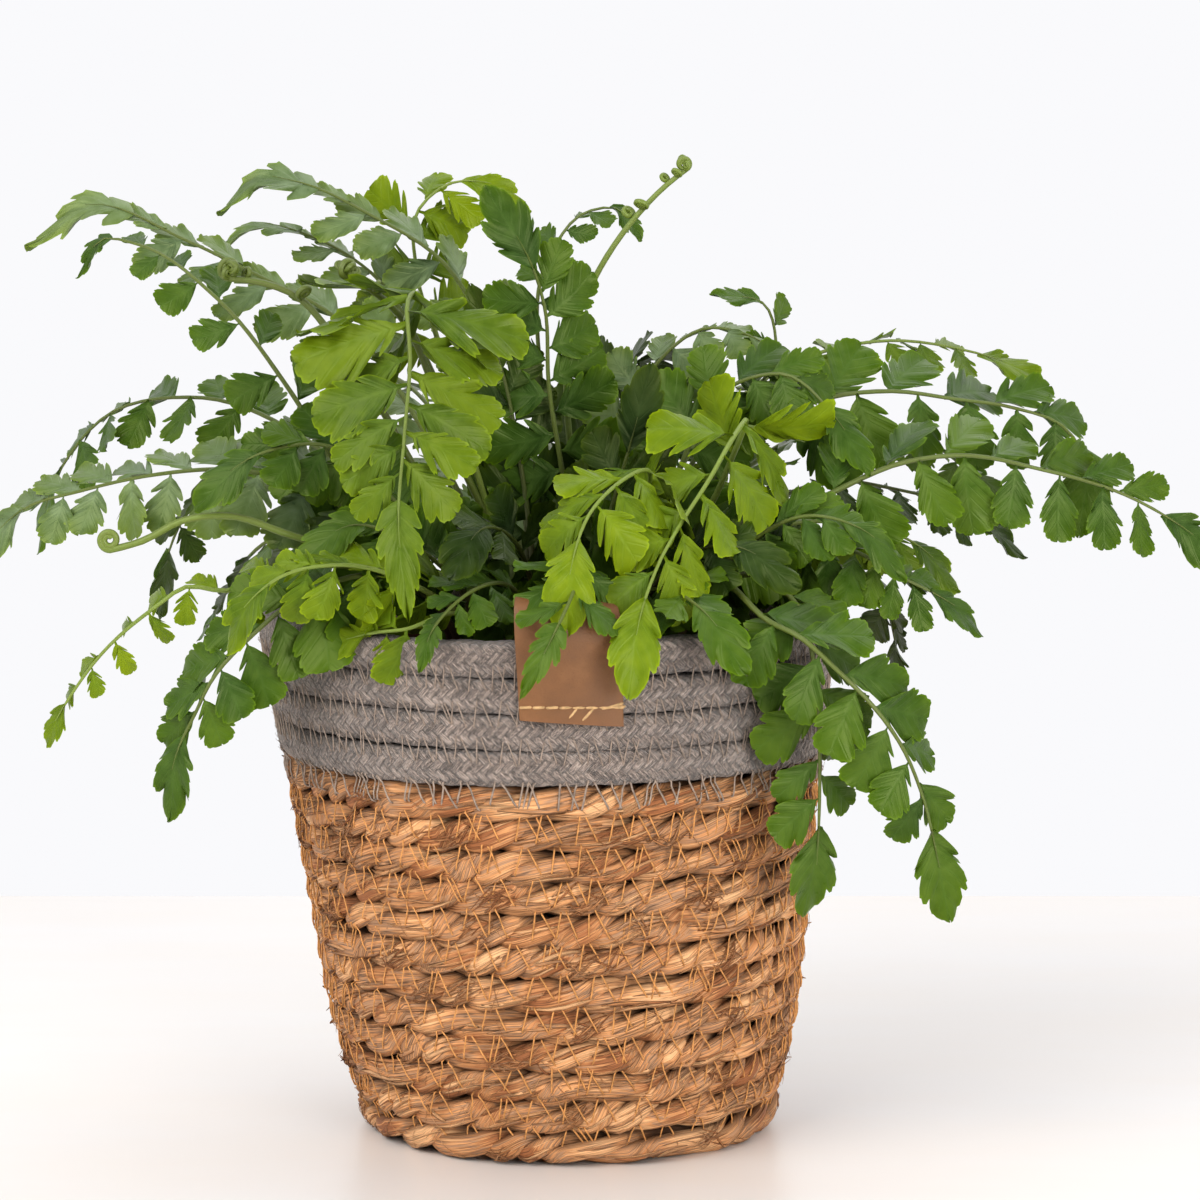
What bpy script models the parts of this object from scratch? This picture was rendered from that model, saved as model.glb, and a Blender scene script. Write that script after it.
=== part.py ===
"""A potted mother fern.

A fern grows in a plastic nursery pot. The pot stands in a film liner inside a round basket of braided
water hyacinth, which has a rim of grey cotton rope and a leather tag folded over it. Metres, +Z up, and
the origin is the centre of the basket's flat base. The front of the basket faces -Y.
"""

import math
from collections import namedtuple

import bmesh
import bpy
import numpy as np
from mathutils import Matrix
from mathutils.bvhtree import BVHTree

MM = 0.001
GAP = 0.3 * MM

# Basket, holding a standard 12 cm nursery pot
RIM_HEIGHT = 0.129
RIM_RADIUS = 0.0712
TAPER = 0.126  # radius gained for each metre of height
LEAN = -0.044  # the hand-sewn basket leans to -X by this share of its height
WALL = 0.0085
FLOOR = 0.008
FOOT_RADIUS = 0.038
ROUND_UNDER = 0.005  # how far the wall draws in, from this height down to the foot
ROUND_FROM = 0.035
BRAID_TOP = 0.0939
BRAID_ROWS = 12
BRAID_GROOVE = 0.0013
ROLL_HEIGHT = 0.0086  # top of the lowest row, which rolls under to the foot
ROLL_POINTS = ((0.0015, 0.55), (0.0045, 0.24))  # drawn in by, at this share of its height
ROPE_ROWS = 4
ROPE_GROOVE = 0.0014
ROPE_PROUD = 0.0004  # the rope stands out from the braid's cone
ROPE_CROWN = 0.0007  # its top row rises by this to the middle of the wall
ROPE_SHOULDER = 0.3  # half width of that crown, as a share of the wall
ROPE_INNER_DROP = 0.0035
SIDES = 28

# Leather tag, one strip folded over the rim
TAG_WIDTH = 0.0245
TAG_THICK = 0.0012
TAG_FRONT_HEIGHTS = (0.110, 0.118, 0.126)
TAG_LOOP = ((0.0727, 0.132), (0.0706, 0.1368), (0.0672, 0.138), (0.0637, 0.1368), (0.0616, 0.132),
            (0.0612, 0.124))  # radius and height, over the rim and down inside it
TAG_COLUMNS = 4
TAG_SLANT = 0.07  # drop of its edges for each metre to +X
TAG_TURN = 0.078  # how far round the rim it sits from the front

# Liner, nursery pot and soil
LINER_TOP = 0.121
LINER_THICK = 0.0006
POT_TOP = 0.122
POT_LIP = 0.009
POT_RIM_RADIUS = 0.059
POT_FOOT_RADIUS = 0.042
POT_WALL = 0.0013
POT_STEP = 0.001  # height of the slope under the lip
POT_SIDES = 22
DRAIN_RADIUS = 0.004
DRAIN_RING = 0.030
DRAIN_HOLES = 6
DRAIN_SIDES = 8
CUT_PAST = 0.002  # a cutter runs on past the wall by this
SOIL_TOP = 0.118
SOIL_CROWN = 0.0015
SOIL_EDGE_DROP = 0.0065
SOIL_FLAT = 0.6  # share of its radius out to which the top is nearly level
STEM_BURIED = 0.012
HOLE_SIDES = 4

# Fern: the stem of a frond is three-sided, and each leaflet is a thin notched fan on its side
STEM_BASE_RADIUS = 0.0011
STEM_TIP_RADIUS = 0.0005
STEM_STEP = 0.024  # between the corners of a bare stem
STEM_SECTION = ((-0.87, 0.5), (0.87, 0.5), (0.0, -1.0))  # to its right and up, for a radius of 1
STEM_CLEARS = 0.001  # straight stretch above the soil
LEAF_THICK = 0.0007
LEAF_ROOT = 0.0022  # how far a leaflet's foot runs along the stem
LEAF_FORWARD = math.radians(28)
LEAF_DROOP = math.radians(14)
LEAF_SPREAD = 0.50  # half width of a leaflet as a share of its length
LEAF_CURL = 0.10  # drop of its tip, as a share of its length
LEAF_FIRST = 0.9  # length of the first leaflet, against the longest
LEAF_TAPER = 0.5  # share of the length that is lost towards the frond's tip
LEAF_VARIES = 0.08
LEAF_ROOM = 1.8  # longest leaflet against the spacing along its side
LEAF_MARGIN = 0.06  # growth of its outline in the search for crossings
TIP_LEAF = 0.75  # length of the last leaflet, against the longest
TIP_INSET = 0.75  # share of the last leaflet that lies within the route
BIG_LEAF = 0.0135  # a longer leaflet has five lobes, a shorter one three
BIG_OUTLINE = ((0.42, -0.86), (0.78, -0.94), (0.80, -0.42), (1.0, 0.0), (0.80, 0.42), (0.78, 0.94),
               (0.42, 0.86))
SMALL_OUTLINE = ((0.60, -0.98), (0.80, -0.42), (1.0, 0.0), (0.80, 0.42), (0.60, 0.98))
BEND_CLEAR = (0, 22, -22, 44, -44)  # degrees that a crowded leaflet turns on its own axis
SHRINK_CLEAR = (1.0, 0.8, 0.62)
COIL_RADII = (0.0034, 0.0013)
COIL_TURNS = 1.2
COIL_STOPS = 11

COLOURS = {
    "deep": (0.035, 0.105, 0.022),
    "green": (0.075, 0.20, 0.03),
    "silver": (0.10, 0.19, 0.105),
    "pale": (0.19, 0.33, 0.07),
    "lime": (0.32, 0.46, 0.05),
}

# A frond's route gives millimetres, from where its stem leaves the soil to its tip. Its face is the
# direction that its upper side turns to. Bare is the share of the stem below the first leaflet.
Frond = namedtuple("Frond", "name tone pairs leaf_mm bare face route coil", defaults=(False,))
FRONDS = (
    Frond("frond_front_hanging", "pale", 6, 23, 0.48, (0, -1, 0.6),
          ((-14, -6), (-26, -16, 176), (-36, -32, 208), (-38, -46, 206), (-37, -56, 194), (-38, -68, 176),
           (-39, -78, 157), (-37, -84, 140))),
    Frond("frond_centre_upright", "green", 5, 17, 0.38, (0, -1, 0.2),
          ((0, 4), (-1, 0, 157), (-5, -5, 185), (-6, -10, 204), (-9, -14, 214), (-18, -18, 230))),
    Frond("frond_centre_lime", "lime", 5, 14, 0.42, (0, -1, 0.5),
          ((18, -4), (37, -8, 160), (43, -18, 177), (39, -30, 173), (33, -42, 164), (27, -52, 156),
           (20, -66, 145), (16, -76, 134), (14, -82, 121))),
    Frond("frond_right_long", "green", 7, 14, 0.42, (0.1, -0.9, 0.5),
          ((22, -8), (46, -14, 148), (66, -16, 160), (80, -16, 166), (97, -16, 168), (113, -16, 165),
           (136, -16, 158), (150, -16, 150), (160, -16, 142))),
    Frond("frond_right_upper", "green", 6, 14, 0.42, (0.1, -0.8, 0.6),
          ((18, 4), (38, 8, 162), (60, 10, 179), (80, 10, 182), (96, 10, 180), (110, 9, 178),
           (123, 7, 173), (128, 5, 165), (127, 4, 149))),
    Frond("frond_left_long", "green", 6, 13, 0.42, (-0.1, -0.7, 0.7),
          ((-28, -8), (-50, -18, 152), (-66, -22, 162), (-79, -24, 165), (-100, -25, 164),
           (-118, -25, 160), (-131, -24, 156), (-144, -23, 144))),
    Frond("frond_right_hanging", "green", 7, 14, 0.34, (0.3, -0.9, 0.3),
          ((20, -26), (36, -42, 140), (47, -56, 132), (54, -62, 129), (62, -64, 122), (71, -64, 113),
           (78, -62, 103), (83, -60, 91), (87, -58, 75), (90, -56, 63))),
    Frond("frond_right_hanging_inner", "green", 5, 13, 0.42, (0.4, -0.9, 0.2),
          ((26, -18), (44, -34, 141), (55, -48, 133), (58, -53, 119), (59, -55, 102), (59, -55, 88),
           (58, -54, 63))),
    Frond("frond_left_hanging", "deep", 5, 15, 0.42, (-0.3, -0.9, 0.3),
          ((-26, -26), (-48, -46, 142), (-64, -53, 137), (-74, -54, 129), (-84, -55, 118),
           (-88, -54, 110), (-92, -53, 102), (-96, -52, 86))),
    Frond("frond_left_rising", "silver", 5, 14, 0.34, (-0.2, -0.6, 0.8),
          ((-24, -2), (-44, -14, 148), (-58, -20, 169), (-68, -20, 185), (-85, -16, 206),
           (-105, -10, 219), (-114, -8, 220), (-119, -8, 213))),
    Frond("frond_top_left_long", "silver", 5, 12, 0.50, (-0.3, -0.25, 1),
          ((-16, 6), (-35, 12, 170), (-58, 14, 200), (-78, 12, 211), (-94, 10, 219), (-120, 10, 228),
           (-133, 8, 220))),
    Frond("frond_top_left_short", "silver", 4, 11, 0.55, (-0.2, -0.3, 1),
          ((-10, 12), (-15, 20, 175), (-33, 22, 215), (-49, 22, 225), (-69, 20, 234), (-79, 20, 235),
           (-87, 18, 229))),
    Frond("frond_top_left_inner", "deep", 3, 9, 0.70, (-0.2, -0.3, 1),
          ((-16, 18), (-32, 32, 180), (-52, 36, 212), (-66, 35, 220), (-80, 33, 223), (-88, 31, 220))),
    Frond("frond_top_pale", "lime", 4, 11, 0.62, (0.1, -0.7, 0.7),
          ((-8, 20), (-28, 36, 180), (-39, 42, 212), (-39, 42, 225), (-30, 42, 233), (-20, 41, 233),
           (-11, 40, 229))),
    Frond("frond_top_right_edge", "green", 3, 9, 0.70, (0, -0.4, 1),
          ((-3, 17), (-7, 20, 180), (-5, 18, 215), (4, 19, 226), (12, 19, 227), (18, 18, 221))),
    Frond("crozier_tall", "pale", 3, 5, 0.62, (-0.9, -0.3, 0.6),
          ((8, 8), (1, 8, 160), (1, 7, 197), (9, 5, 215), (17, 4, 226), (25, 3, 234), (29, 3, 237)), True),
    Frond("frond_front_lime", "lime", 3, 14, 0.50, (-0.1, -0.8, 0.6),
          ((9, -12), (18, -24, 155), (19, -38, 166), (11, -54, 164), (4, -66, 157), (0, -75, 144),
           (-1, -77, 134))),
    Frond("frond_over_tag", "deep", 3, 10, 0.50, (0, -1, 0.5),
          ((3, -26), (4, -46, 140), (3, -62, 146), (1, -74, 141), (-4, -81, 131), (-10, -83, 120))),
    Frond("frond_rim_right", "deep", 2, 13, 0.56, (0.3, -0.9, 0.5),
          ((12, -32), (20, -50, 139), (31, -67, 136), (40, -76, 125))),
    Frond("frond_rim_left", "green", 3, 12, 0.45, (-0.1, -0.9, 0.6),
          ((-8, -30), (-15, -48, 140), (-24, -62, 139), (-32, -71, 131), (-34, -76, 125))),
    Frond("frond_left_lime", "lime", 4, 12, 0.40, (-0.5, -0.8, 0.5),
          ((-20, -34), (-38, -52, 141), (-54, -62, 146), (-66, -65, 144), (-75, -66, 137), (-80, -66, 128))),
    Frond("frond_on_rim", "lime", 1, 11, 0.72, (-0.4, -0.9, 0.4),
          ((-14, -38), (-28, -56, 134), (-38, -62, 131), (-45, -60, 130), (-52, -56, 128), (-59, -55, 126))),
    Frond("frond_lower_left_thin", "lime", 5, 8, 0.48, (-0.4, -0.8, 0.5),
          ((-28, -18), (-52, -36, 143), (-70, -42, 142), (-81, -44, 138), (-91, -45, 139), (-97, -46, 135),
           (-110, -46, 124), (-119, -45, 112), (-125, -44, 102))),
    Frond("crozier_left", "pale", 0, 5, 0.9, (-0.3, 0.0, 1),
          ((-30, -13), (-48, -30, 143), (-68, -36, 151), (-80, -36, 155), (-92, -36, 154), (-102, -36, 149),
           (-109, -36, 147)), True),
    Frond("frond_left_middle", "deep", 4, 14, 0.40, (-0.3, -0.8, 0.5),
          ((-22, -14), (-42, -28, 158), (-58, -36, 172), (-74, -40, 170), (-88, -42, 160))),
    Frond("frond_left_behind", "deep", 4, 13, 0.45, (-0.4, -0.4, 0.8),
          ((-24, 16), (-60, 38, 163), (-95, 48, 178), (-118, 50, 174), (-132, 50, 158), (-138, 50, 140))),
    Frond("frond_right_middle", "green", 4, 16, 0.42, (0.3, -0.9, 0.5),
          ((14, 8), (26, 4, 160), (40, 0, 184), (53, -5, 187), (64, -12, 178), (72, -17, 166))),
    Frond("frond_middle_silver", "silver", 4, 12, 0.52, (0.2, -0.5, 0.8),
          ((6, 16), (13, 22, 165), (22, 24, 188), (34, 22, 197), (46, 18, 195), (57, 14, 187))),
    Frond("frond_middle_left", "deep", 3, 15, 0.50, (-0.1, -1, 0.2),
          ((-8, 2), (-12, 0, 165), (-17, -5, 190), (-23, -9, 206))),
    Frond("frond_low_left_of_centre", "deep", 2, 14, 0.46, (-0.2, -0.9, 0.5),
          ((-7, -16), (-14, -34, 150), (-21, -50, 153), (-27, -62, 145))),
    Frond("frond_low_left", "green", 3, 14, 0.44, (-0.3, -0.9, 0.5),
          ((-20, -22), (-38, -40, 149), (-52, -49, 154), (-63, -53, 147))),
    Frond("frond_low_right_of_centre", "deep", 3, 14, 0.42, (0.2, -0.9, 0.5),
          ((16, -16), (27, -36, 145), (40, -50, 149), (52, -58, 143))),
    Frond("frond_low_right", "green", 3, 14, 0.40, (0.3, -0.8, 0.6),
          ((28, -12), (45, -26, 149), (58, -34, 155), (70, -38, 152), (80, -40, 143))),
    Frond("frond_inner_right", "deep", 3, 15, 0.45, (0.1, -1, 0.3),
          ((3, -5), (9, -14, 150), (15, -22, 172), (19, -28, 188))),
    Frond("frond_right_pale", "pale", 3, 9, 0.52, (0.2, -0.6, 0.8),
          ((28, -1), (48, -2, 148), (71, -2, 150), (84, -3, 146), (96, -4, 136))),
    Frond("frond_right_low", "green", 3, 10, 0.52, (0.3, -0.7, 0.6),
          ((34, -8), (50, -20, 144), (68, -27, 146), (79, -28, 140), (89, -27, 135), (100, -26, 128))),
    Frond("frond_right_dark", "deep", 3, 10, 0.52, (0.1, -0.4, 0.9),
          ((24, 10), (46, 24, 150), (68, 30, 158), (82, 31, 156), (104, 31, 149), (115, 31, 140))),
    Frond("frond_right_back_upper", "pale", 4, 12, 0.45, (0.1, -0.4, 0.9),
          ((16, 18), (34, 44, 168), (62, 58, 188), (84, 61, 192), (105, 61, 189), (121, 60, 184))),
    Frond("frond_right_tip_up", "green", 2, 10, 0.60, (0.3, -0.6, 0.8),
          ((13, 13), (34, 22, 168), (52, 24, 192), (49, 22, 203), (37, 20, 206))),
    Frond("frond_back_right", "green", 4, 14, 0.42, (0.4, 0.5, 0.8),
          ((22, 24), (44, 48, 158), (76, 74, 170), (104, 94, 158), (120, 106, 138))),
    Frond("frond_back_right_long", "green", 5, 14, 0.42, (0.2, 0.6, 0.8),
          ((10, 26), (22, 60, 164), (36, 94, 177), (46, 122, 167), (52, 140, 145))),
    Frond("frond_back_centre", "deep", 4, 14, 0.42, (0, 0.7, 0.7),
          ((-1, 31), (-4, 62, 158), (-6, 92, 163), (-8, 116, 148), (-8, 130, 124))),
    Frond("frond_back_left_long", "silver", 5, 14, 0.42, (-0.3, 0.6, 0.8),
          ((-12, 28), (-30, 60, 166), (-48, 90, 181), (-62, 113, 174), (-70, 128, 152))),
    Frond("frond_back_left", "green", 4, 14, 0.42, (-0.5, 0.5, 0.7),
          ((-22, 24), (-52, 54, 152), (-82, 80, 158), (-104, 98, 142), (-113, 106, 118))),
    Frond("frond_back_hanging_right", "green", 4, 12, 0.46, (0.5, 0.8, 0.3),
          ((10, 36), (28, 58, 142), (40, 75, 136), (48, 86, 114), (52, 90, 88))),
    Frond("frond_back_hanging_left", "deep", 4, 12, 0.46, (-0.4, 0.9, 0.3),
          ((-14, 38), (-28, 58, 142), (-38, 76, 135), (-44, 88, 110), (-46, 92, 84))),
    Frond("frond_back_low_right", "deep", 4, 12, 0.44, (0.8, 0.5, 0.4),
          ((28, 17), (50, 36, 145), (72, 54, 140), (84, 65, 120), (88, 70, 96))),
    Frond("frond_back_low_left", "green", 4, 12, 0.44, (-0.8, 0.4, 0.4),
          ((-34, 12), (-56, 32, 143), (-79, 50, 140), (-92, 60, 122), (-98, 66, 98))),
    Frond("frond_back_upright", "deep", 4, 15, 0.40, (0.1, 0.8, 0.5),
          ((3, 22), (7, 38, 158), (13, 54, 182), (22, 72, 187), (29, 88, 177))),
)


def material(name, colour, roughness):
    made = bpy.data.materials.new(name)
    made.use_nodes = True
    shader = made.node_tree.nodes["Principled BSDF"]
    shader.inputs["Base Color"].default_value = (*colour, 1.0)
    shader.inputs["Roughness"].default_value = roughness
    shader.inputs["Metallic"].default_value = 0.0
    return made


def add_object(name, mesh, collection, finish):
    made = bpy.data.objects.new(name, mesh)
    collection.objects.link(made)
    mesh.materials.append(finish)
    return made


def evaluated_mesh(made):
    """The object's mesh after its modifiers, in place of the one it had."""
    graph = bpy.context.evaluated_depsgraph_get()
    mesh = bpy.data.meshes.new_from_object(made.evaluated_get(graph))
    made.modifiers.clear()
    made.data = mesh
    return mesh


def turned(name, profile, sides, collection, finish, ring=False):
    """A profile of (radius, height) swept once round Z, then leaned with the basket."""
    mesh = bpy.data.meshes.new(name)
    edges = [(i, i + 1) for i in range(len(profile) - 1)]
    if ring:
        edges.append((len(profile) - 1, 0))
    mesh.from_pydata([(r, 0.0, z) for r, z in profile], edges, [])
    made = add_object(name, mesh, collection, finish)
    screw = made.modifiers.new("Turn", "SCREW")
    screw.steps = screw.render_steps = sides
    screw.use_merge_vertices = True
    screw.merge_threshold = 0.0001
    lean(evaluated_mesh(made))
    made.data.shade_smooth()
    made.data.set_sharp_from_angle(angle=math.radians(50))
    return made


def lean(mesh):
    shear = Matrix.Identity(4)
    shear[0][2] = LEAN
    mesh.transform(shear)


def wall_radius(height):
    """Outer radius of the basket at a height: a cone that draws in near the foot."""
    low = max(0.0, 1 - height / ROUND_FROM)
    return RIM_RADIUS - TAPER * (RIM_HEIGHT - height) - ROUND_UNDER * low**1.5


def basket(collection):
    """The braided cup: one bulge for each row of braid, the last of them rolling under to the foot."""
    pitch = (BRAID_TOP - ROLL_HEIGHT) / (BRAID_ROWS - 1)
    profile = [(0.0, FLOOR)]
    profile += [(wall_radius(z) - WALL, z) for z in (FLOOR, 0.6 * ROUND_FROM, BRAID_TOP)]
    for row in range(BRAID_ROWS - 1):
        top = BRAID_TOP - row * pitch
        groove = BRAID_GROOVE if row else 0.5 * BRAID_GROOVE
        profile.append((wall_radius(top) - groove, top))
        crest = top - 0.5 * pitch
        profile.append((wall_radius(crest), crest))
    roll = wall_radius(ROLL_HEIGHT)
    profile.append((roll - BRAID_GROOVE, ROLL_HEIGHT))
    profile += [(roll - drawn_in, share * ROLL_HEIGHT) for drawn_in, share in ROLL_POINTS]
    profile += [(FOOT_RADIUS, 0.0), (0.0, 0.0)]
    finish = material("water_hyacinth", (0.50, 0.27, 0.12), 0.75)
    return turned("basket", profile, SIDES, collection, finish)


def rope_band(collection):
    """Four turns of rope sewn on each other, on top of the braid."""
    low = BRAID_TOP + GAP
    pitch = (RIM_HEIGHT - low) / ROPE_ROWS
    middle = wall_radius(RIM_HEIGHT) - 0.5 * WALL
    shoulder = ROPE_SHOULDER * WALL
    profile = [(middle - shoulder, RIM_HEIGHT - ROPE_CROWN), (middle, RIM_HEIGHT),
               (middle + shoulder, RIM_HEIGHT - ROPE_CROWN)]
    for row in range(ROPE_ROWS):
        crest = RIM_HEIGHT - (row + 0.5) * pitch
        if row:
            groove = crest + 0.5 * pitch
            profile.append((wall_radius(groove) - ROPE_GROOVE, groove))
        profile.append((wall_radius(crest) + ROPE_PROUD, crest))
    profile += [(wall_radius(low) - ROPE_GROOVE, low), (wall_radius(low) - WALL, low),
                (wall_radius(RIM_HEIGHT) - WALL, RIM_HEIGHT - ROPE_INNER_DROP)]
    finish = material("grey_rope", (0.30, 0.27, 0.25), 0.9)
    return turned("rope_band", profile, SIDES, collection, finish, ring=True)


def rim_tag(collection):
    """A strip that runs up the front of the rope, stands as a loop over the rim and ends inside it."""
    stand_off = ROPE_PROUD + GAP + 0.6 * TAG_THICK
    path = [(wall_radius(z) + stand_off, z) for z in TAG_FRONT_HEIGHTS] + list(TAG_LOOP)
    columns = np.linspace(-0.5, 0.5, TAG_COLUMNS)
    points = []
    for across in columns:
        turn = TAG_TURN + across * TAG_WIDTH / RIM_RADIUS
        for radius, height in path:
            x, y = radius * math.sin(turn), -radius * math.cos(turn)
            points.append((x, y, height - TAG_SLANT * x))
    rows = len(path)
    faces = [(c * rows + r, (c + 1) * rows + r, (c + 1) * rows + r + 1, c * rows + r + 1)
             for c in range(len(columns) - 1) for r in range(rows - 1)]
    mesh = bpy.data.meshes.new("rim_tag")
    mesh.from_pydata(points, [], faces)
    tag = add_object("rim_tag", mesh, collection, material("tan_leather", (0.36, 0.17, 0.075), 0.55))
    thick = tag.modifiers.new("Thickness", "SOLIDIFY")
    thick.thickness = TAG_THICK
    thick.offset = 0.0
    lean(evaluated_mesh(tag))
    return tag


def liner(collection):
    """A thin film cup between the basket and the pot, which keeps water off the braid."""
    low = FLOOR + GAP
    heights = (low, 0.6 * ROUND_FROM, LINER_TOP)
    outer = [(wall_radius(z) - WALL - GAP, z) for z in heights]
    inner = [(radius - LINER_THICK, max(z, low + LINER_THICK)) for radius, z in outer]
    profile = [(0.0, low + LINER_THICK), *inner, *reversed(outer), (0.0, low)]
    return turned("liner", profile, SIDES, collection, material("liner_film", (0.05, 0.05, 0.05), 0.4))


def pot_inner_radius(height):
    """Inner radius of the nursery pot below its lip."""
    low = pot_floor()
    high = POT_TOP - POT_LIP
    share = (height - low) / (high - low)
    top_radius = POT_RIM_RADIUS - 2 * POT_WALL
    return (POT_FOOT_RADIUS + share * (top_radius - POT_FOOT_RADIUS)) - POT_WALL


def pot_floor():
    """Height of the pot's underside."""
    return FLOOR + 2 * GAP + LINER_THICK


def nursery_pot(collection, cutters):
    low = pot_floor()
    lip = POT_TOP - POT_LIP
    profile = [(0.0, low + POT_WALL), (pot_inner_radius(low + POT_WALL), low + POT_WALL),
               (pot_inner_radius(lip), lip), (POT_RIM_RADIUS - POT_WALL, lip + POT_STEP),
               (POT_RIM_RADIUS - POT_WALL, POT_TOP), (POT_RIM_RADIUS, POT_TOP), (POT_RIM_RADIUS, lip),
               (pot_inner_radius(lip) + POT_WALL, lip - POT_STEP), (POT_FOOT_RADIUS, low), (0.0, low)]
    finish = material("brown_plastic", (0.10, 0.045, 0.025), 0.45)
    pot = turned("nursery_pot", profile, POT_SIDES, collection, finish)
    spots = [(DRAIN_RING * math.cos(turn), DRAIN_RING * math.sin(turn))
             for turn in np.linspace(0, 2 * math.pi, DRAIN_HOLES, endpoint=False)]
    cut_holes(pot, "drain_holes", spots, DRAIN_RADIUS, DRAIN_SIDES, low - CUT_PAST, low + POT_WALL + CUT_PAST,
              cutters)
    return pot


def cut_holes(made, name, spots, radius, sides, low, high, cutters):
    """Upright round holes through the object, from one cutter that holds a prism at each spot."""
    shape = bmesh.new()
    for x, y in spots:
        place = Matrix.Translation((x, y, 0.5 * (low + high)))
        bmesh.ops.create_cone(shape, cap_ends=True, segments=sides, radius1=radius, radius2=radius,
                              depth=high - low, matrix=place)
    mesh = bpy.data.meshes.new(name)
    shape.to_mesh(mesh)
    shape.free()
    cutter = bpy.data.objects.new(name, mesh)
    cutters.objects.link(cutter)
    cutter.hide_render = True
    cutter.display_type = "WIRE"
    cut = made.modifiers.new("Holes", "BOOLEAN")
    cut.operation = "DIFFERENCE"
    cut.object = cutter


def soil(collection, cutters):
    """Potting soil, slightly domed, with a plain hole for each stem."""
    low = pot_floor() + POT_WALL + GAP
    reach = pot_inner_radius(POT_TOP - POT_LIP) - GAP
    profile = [(0.0, SOIL_TOP + SOIL_CROWN), (SOIL_FLAT * reach, SOIL_TOP), (reach, SOIL_TOP - SOIL_EDGE_DROP),
               (pot_inner_radius(low) - GAP, low), (0.0, low)]
    finish = material("potting_soil", (0.05, 0.03, 0.02), 0.95)
    made = turned("soil", profile, POT_SIDES, collection, finish)
    spots = [(frond.route[0][0] * MM, frond.route[0][1] * MM) for frond in FRONDS]
    radius = (STEM_BASE_RADIUS + GAP) / math.cos(math.pi / HOLE_SIDES)
    bottom, top = SOIL_TOP - STEM_BURIED - GAP, SOIL_TOP + SOIL_CROWN + CUT_PAST
    cut_holes(made, "stem_holes", spots, radius, HOLE_SIDES, bottom, top, cutters)
    return made


def unit(vectors):
    return vectors / np.linalg.norm(vectors, axis=-1, keepdims=True)


class Stem:
    """The middle line of a frond: a straight buried foot, a cubic curve through the route, and a coil."""

    def __init__(self, frond):
        foot = np.array([*frond.route[0], SOIL_TOP / MM]) * MM
        knots = np.array([foot, *(np.array(point) * MM for point in frond.route[1:])])
        line = np.concatenate([[foot - (0, 0, STEM_BURIED)], self.curve(knots)])
        face = unit(np.array(frond.face, float))
        along = unit(np.gradient(line, axis=0))
        up = unit(face - along * (along @ face)[:, None])
        if frond.coil:
            line, along, up = self.coiled(line, along, up)
        self.points, self.along, self.up = line, along, up
        steps = np.linalg.norm(np.diff(line, axis=0), axis=1)
        self.reached = np.concatenate([[0], np.cumsum(steps)])
        self.length = self.reached[-1]

    @staticmethod
    def curve(knots, samples=120):
        """Cubic Hermite curve through the knots. It starts upright."""
        chord = np.concatenate([[0], np.cumsum(np.linalg.norm(np.diff(knots, axis=0), axis=1))])
        slopes = np.gradient(knots, chord, axis=0)
        slopes[0] = (0, 0, 1)
        where = np.linspace(0, chord[-1], samples)
        span = np.clip(np.searchsorted(chord, where, "right") - 1, 0, len(knots) - 2)
        width = np.diff(chord)[span][:, None]
        t = (where[:, None] - chord[span][:, None]) / width
        return ((2 * t**3 - 3 * t**2 + 1) * knots[span] + (t**3 - 2 * t**2 + t) * width * slopes[span]
                + (3 * t**2 - 2 * t**3) * knots[span + 1] + (t**3 - t**2) * width * slopes[span + 1])

    @staticmethod
    def coiled(line, along, up, samples=16):
        """The line carried on round a spiral that closes towards its upper side."""
        turn = np.linspace(0, 2 * math.pi * COIL_TURNS, samples + 1)[1:, None]
        radius = COIL_RADII[0] + (COIL_RADII[1] - COIL_RADII[0]) * turn / turn[-1]
        start, ahead, inward = line[-1], along[-1], up[-1]
        points = start + COIL_RADII[0] * inward + radius * (ahead * np.sin(turn) - inward * np.cos(turn))
        heading = ahead * np.cos(turn) + inward * np.sin(turn)
        inner = inward * np.cos(turn) - ahead * np.sin(turn)
        return np.concatenate([line, points]), np.concatenate([along, heading]), np.concatenate([up, inner])

    def at(self, distance):
        """Point, direction, upper side and right side at a distance from the buried end."""
        def read(values):
            return np.array([np.interp(distance, self.reached, column) for column in values.T])

        ahead = unit(read(self.along))
        up = read(self.up)
        up = unit(up - ahead * (up @ ahead))
        return read(self.points), ahead, up, np.cross(ahead, up)

    def ring(self, distance):
        """The three corners of the stem there: left, right and below."""
        point, _, up, right = self.at(distance)
        radius = STEM_BASE_RADIUS + (STEM_TIP_RADIUS - STEM_BASE_RADIUS) * distance / self.length
        return [point + radius * (aside * right + above * up) for aside, above in STEM_SECTION]


def leaflet_points(root, axis, across, normal, length, outline):
    """Upper and lower rim of one notched fan, whose tip curls down."""
    shape = np.array(outline)
    u, v = shape[:, :1] * length, shape[:, 1:] * length * LEAF_SPREAD
    drop = LEAF_CURL * length * shape[:, :1] ** 2
    upper = root + axis * u + across * v - normal * drop
    return upper, upper - normal * LEAF_THICK


def swollen(upper, lower, corners):
    """A leaflet's plate with the gap added on both sides, as a search tree for crossings."""
    rise = unit(upper[0] - lower[0]) * GAP
    spread = LEAF_MARGIN * (upper - upper.mean(axis=0))
    top = np.concatenate([[corners[0]], upper + spread + rise, [corners[1]]])
    bottom = np.concatenate([[corners[2]], lower + spread - rise, [corners[3]]])
    count = len(top)
    fans = [(0, i, i + 1) for i in range(1, count - 1)]
    faces = fans + [(a + count, c + count, b + count) for a, b, c in fans]
    faces += [(i, i + 1, i + 1 + count, i + count) for i in range(count - 1)]
    return BVHTree.FromPolygons([tuple(p) for p in np.concatenate([top, bottom])], faces)


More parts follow.
